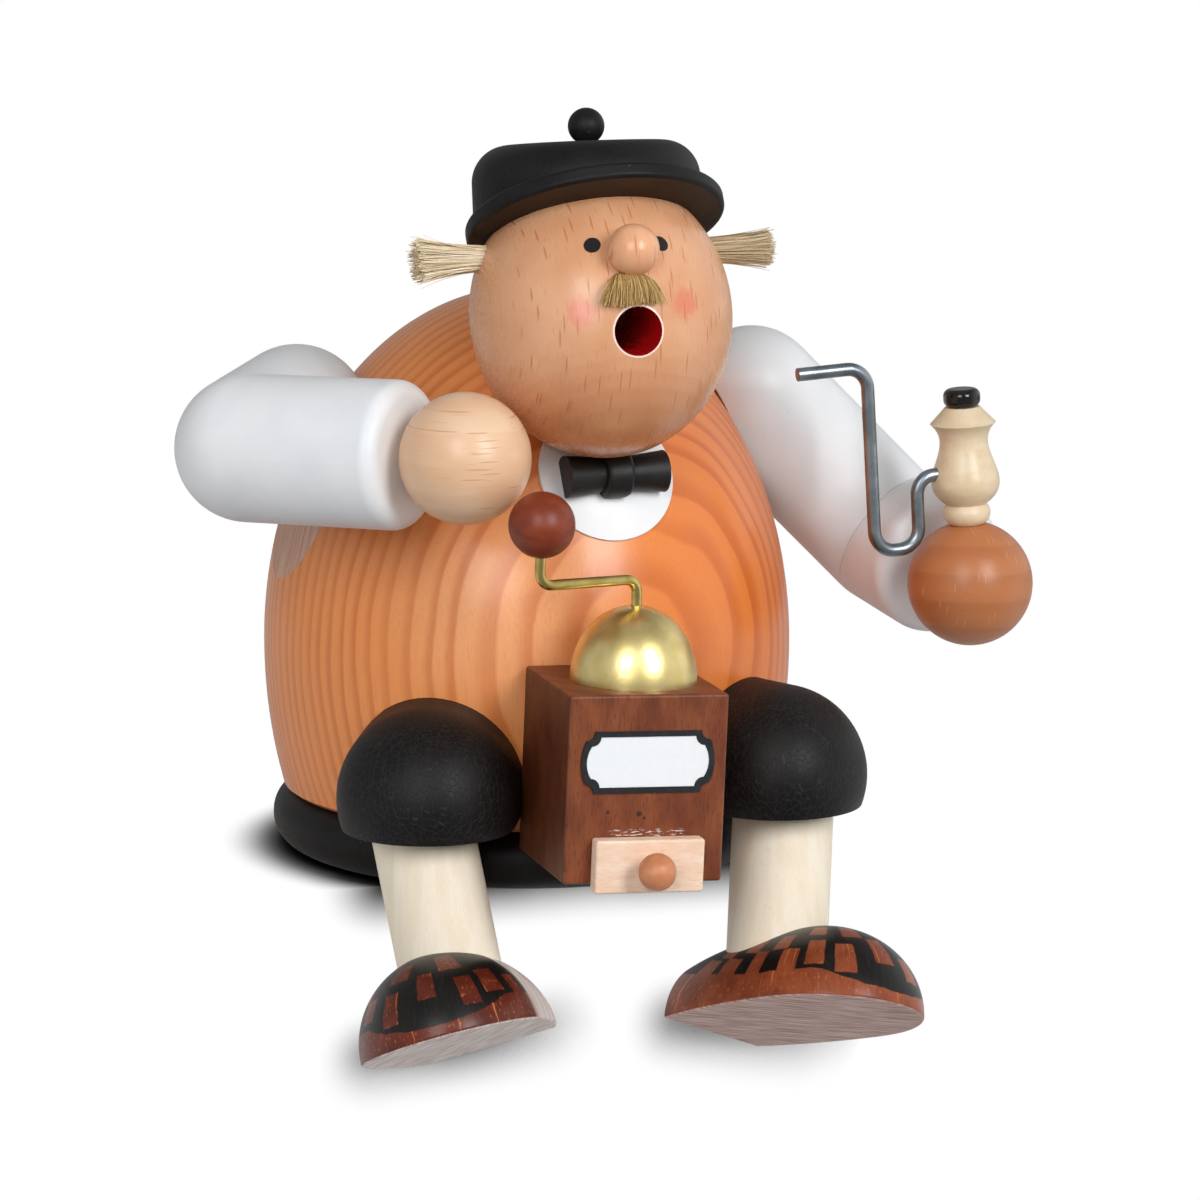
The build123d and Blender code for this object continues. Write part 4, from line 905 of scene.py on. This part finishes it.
def shelf_look():
    """White to the eye, with a painted shadow close round the plinth and the soles: ambient
    occlusion darkens the glow that the camera sees.
    """
    look = Look("shelf_white", 0.9, specular=0.0)
    x, y, z = look.inside(ROW)
    past = look.math("MAXIMUM", look.math("SQRT", x * x + y * y) - PLINTH_RADIUS, 0.0)
    near = look.math("SQRT", past * past + z * z)
    for start, end in SOLE_LINES:
        near = look.math("MINIMUM", near, line_distance(look, x, z, start, end))
    closed = look.node("AmbientOcclusion", {"Distance": SHADE_REACH * MM}, samples=SHADE_SAMPLES)
    shade = 1.0 - look.math("POWER", Num(look, closed.outputs["AO"]), SHADE_DEPTH)
    glow = 1.0 - shade * look.step(near, CONTACT_REACH, 0.0)
    # The camera sees the glow alone on black, so the shelf shows this painted shadow and no lamp
    # shadow
    seen = Num(look, look.node("LightPath").outputs["Is Camera Ray"])
    look.colour(look.mix(seen, SHELF_COLOUR, SHELF_SEEN))
    look.feed(look.shader.inputs["Emission Color"], (1, 1, 1, 1))
    look.feed(look.shader.inputs["Emission Strength"], glow * seen)
    return look.material


def line_distance(look, x, z, start, end):
    """How far a point is from a line between two places."""
    run_x = end[0] - start[0]
    run_z = end[1] - start[1]
    share = ((x - start[0]) * run_x + (z - start[1]) * run_z) / (run_x**2 + run_z**2)
    share = look.math("MINIMUM", look.math("MAXIMUM", share, 0.0), 1.0)
    off_x = x - start[0] - share * run_x
    off_z = z - start[1] - share * run_z
    return look.math("SQRT", off_x * off_x + off_z * off_z)


def make_light():
    for name, (azimuth, elevation, width, height, power) in LAMPS.items():
        data = bpy.data.lights.new(name, "AREA")
        data.shape = "RECTANGLE"
        data.size = width
        data.size_y = height
        data.energy = power
        back = direction(azimuth, elevation)
        light = bpy.data.objects.new(name, data)
        light.location = CAMERA_TARGET + back * LAMP_DISTANCE
        light.rotation_mode = "QUATERNION"
        light.rotation_quaternion = (-back).to_track_quat("-Z", "Y")
        bpy.context.scene.collection.objects.link(light)


def make_world():
    """White to the eye; as light it is dim, with a brighter panel at each side, behind, below."""
    world = bpy.data.worlds.new("studio")
    bpy.context.scene.world = world
    world.use_nodes = True
    tree = world.node_tree

    def math_node(operation, *values):
        node = tree.nodes.new("ShaderNodeMath")
        node.operation = operation
        for socket, value in zip(node.inputs, values):
            if isinstance(value, bpy.types.NodeSocket):
                tree.links.new(value, socket)
            else:
                socket.default_value = value
        return node.outputs[0]

    def ramp(value, low, high, level):
        node = tree.nodes.new("ShaderNodeMapRange")
        node.inputs["From Min"].default_value = low
        node.inputs["From Max"].default_value = high
        node.inputs["To Min"].default_value = MIDDLE_AMBIENT
        node.inputs["To Max"].default_value = level
        tree.links.new(value, node.inputs["Value"])
        return node.outputs[0]

    split = tree.nodes.new("ShaderNodeSeparateXYZ")
    tree.links.new(tree.nodes.new("ShaderNodeTexCoord").outputs["Generated"], split.inputs[0])
    near, far = SIDE_PANEL
    path = tree.nodes.new("ShaderNodeLightPath")
    level = ramp(split.outputs["X"], -near, -far, LEFT_AMBIENT)
    for other in (
        ramp(split.outputs["X"], near, far, RIGHT_AMBIENT),
        ramp(split.outputs["Z"], *BELOW_PANEL, BELOW_AMBIENT),
        ramp(split.outputs["Y"], *BACK_PANEL, BACK_AMBIENT),
        math_node("MULTIPLY", path.outputs["Is Glossy Ray"], GLOSS_AMBIENT),
        path.outputs["Is Camera Ray"],
    ):
        level = math_node("MAXIMUM", level, other)
    background = tree.nodes["Background"]
    background.inputs["Color"].default_value = (1, 1, 1, 1)
    tree.links.new(level, background.inputs["Strength"])


make_camera()
make_shelf()
make_light()
make_world()

dress(pine_look(), "body_shell")
dress(head_look(), "head")
dress(nose_look(), "nose")
dress(right_hand_look(), "right_hand")
dress(left_hand_look(), "left_hand")
sleeves = [f"{side}_{part}" for side in SIDES for part in ("upper_arm", "forearm")]
dress(white_look(), "shirt_front", *sleeves)
dress(black_look("black_stain", 0.2), "base_plinth", "cap_crown", "cap_button")
dress(black_look("black_tie", 0.2, specular=0.35), "bow_tie")
dress(black_look("black_brim", 0.1, under=-HEAD.z), "cap_brim")
dress(black_look("black_trousers", 1.0, specular=0.22), "right_thigh", "left_thigh")
shin_wood = dowel_look("shin_wood", srgb(247, 236, 216), srgb(241, 226, 202), srgb(222, 200, 168))
dress(shin_wood, "right_shin", "left_shin")
for shoe_side in SIDES:
    dress(shoe_look(shoe_side), f"{shoe_side}_shoe")
dress(mill_look(), "grinder_box")
dome_brass = metal_look("dome_brass", srgb(236, 218, 156), srgb(222, 202, 134), 0.34, 0.5, 0.014)
dress(dome_brass, "grinder_dome")
wire_brass = metal_look("wire_brass", srgb(212, 192, 120), srgb(186, 160, 88), 0.22, 0.4, 0.006)
dress(wire_brass, "crank_arm")
wire_steel = metal_look("wire_steel", srgb(160, 170, 177), srgb(130, 140, 148), 0.32, 0.4, 0.008)
dress(wire_steel, "pipe_stem")
tin = metal_look("tin", srgb(214, 214, 210), srgb(188, 188, 184), 0.34, 0.8, 0.01)
dress(tin, "incense_dish", "dish_nail")
dress(bead_look("knob_stain", srgb(144, 60, 30), srgb(98, 33, 14), 0.4), "crank_knob")
dress(bead_look("pull_stain", srgb(220, 150, 106), srgb(184, 112, 72), 0.4), "drawer_knob")
dress(plastic_look("label_black", srgb(22, 24, 28), srgb(32, 34, 38), 0.4), "label_frame")
dress(plastic_look("label_white", srgb(241, 244, 247), srgb(239, 242, 245), 0.45), "label_card")
dress(plastic_look("bead_black", srgb(14, 12, 12), srgb(22, 20, 20), 0.12), "pipe_bead")
dress(drawer_look(), "drawer_front")
dress(maple_look(), "pipe_bowl")
dress(
    dowel_look("dowel_wood", srgb(226, 196, 156), srgb(208, 172, 126), srgb(176, 132, 88)),
    *[f"{joint}_dowels" for joint in ("shoulder", "elbow", "wrist", "hip")],
    "grinder_dowel",
    "neck_tube",
)

straw = bristle_look("straw_bristle", srgb(188, 160, 116), srgb(252, 240, 212))
for tuft_side in SIDES:
    make_tuft(tuft_side, straw)
make_moustache(bristle_look("moustache_bristle", srgb(160, 126, 66), srgb(230, 198, 136)))

bpy.context.scene.view_settings.view_transform = "Standard"
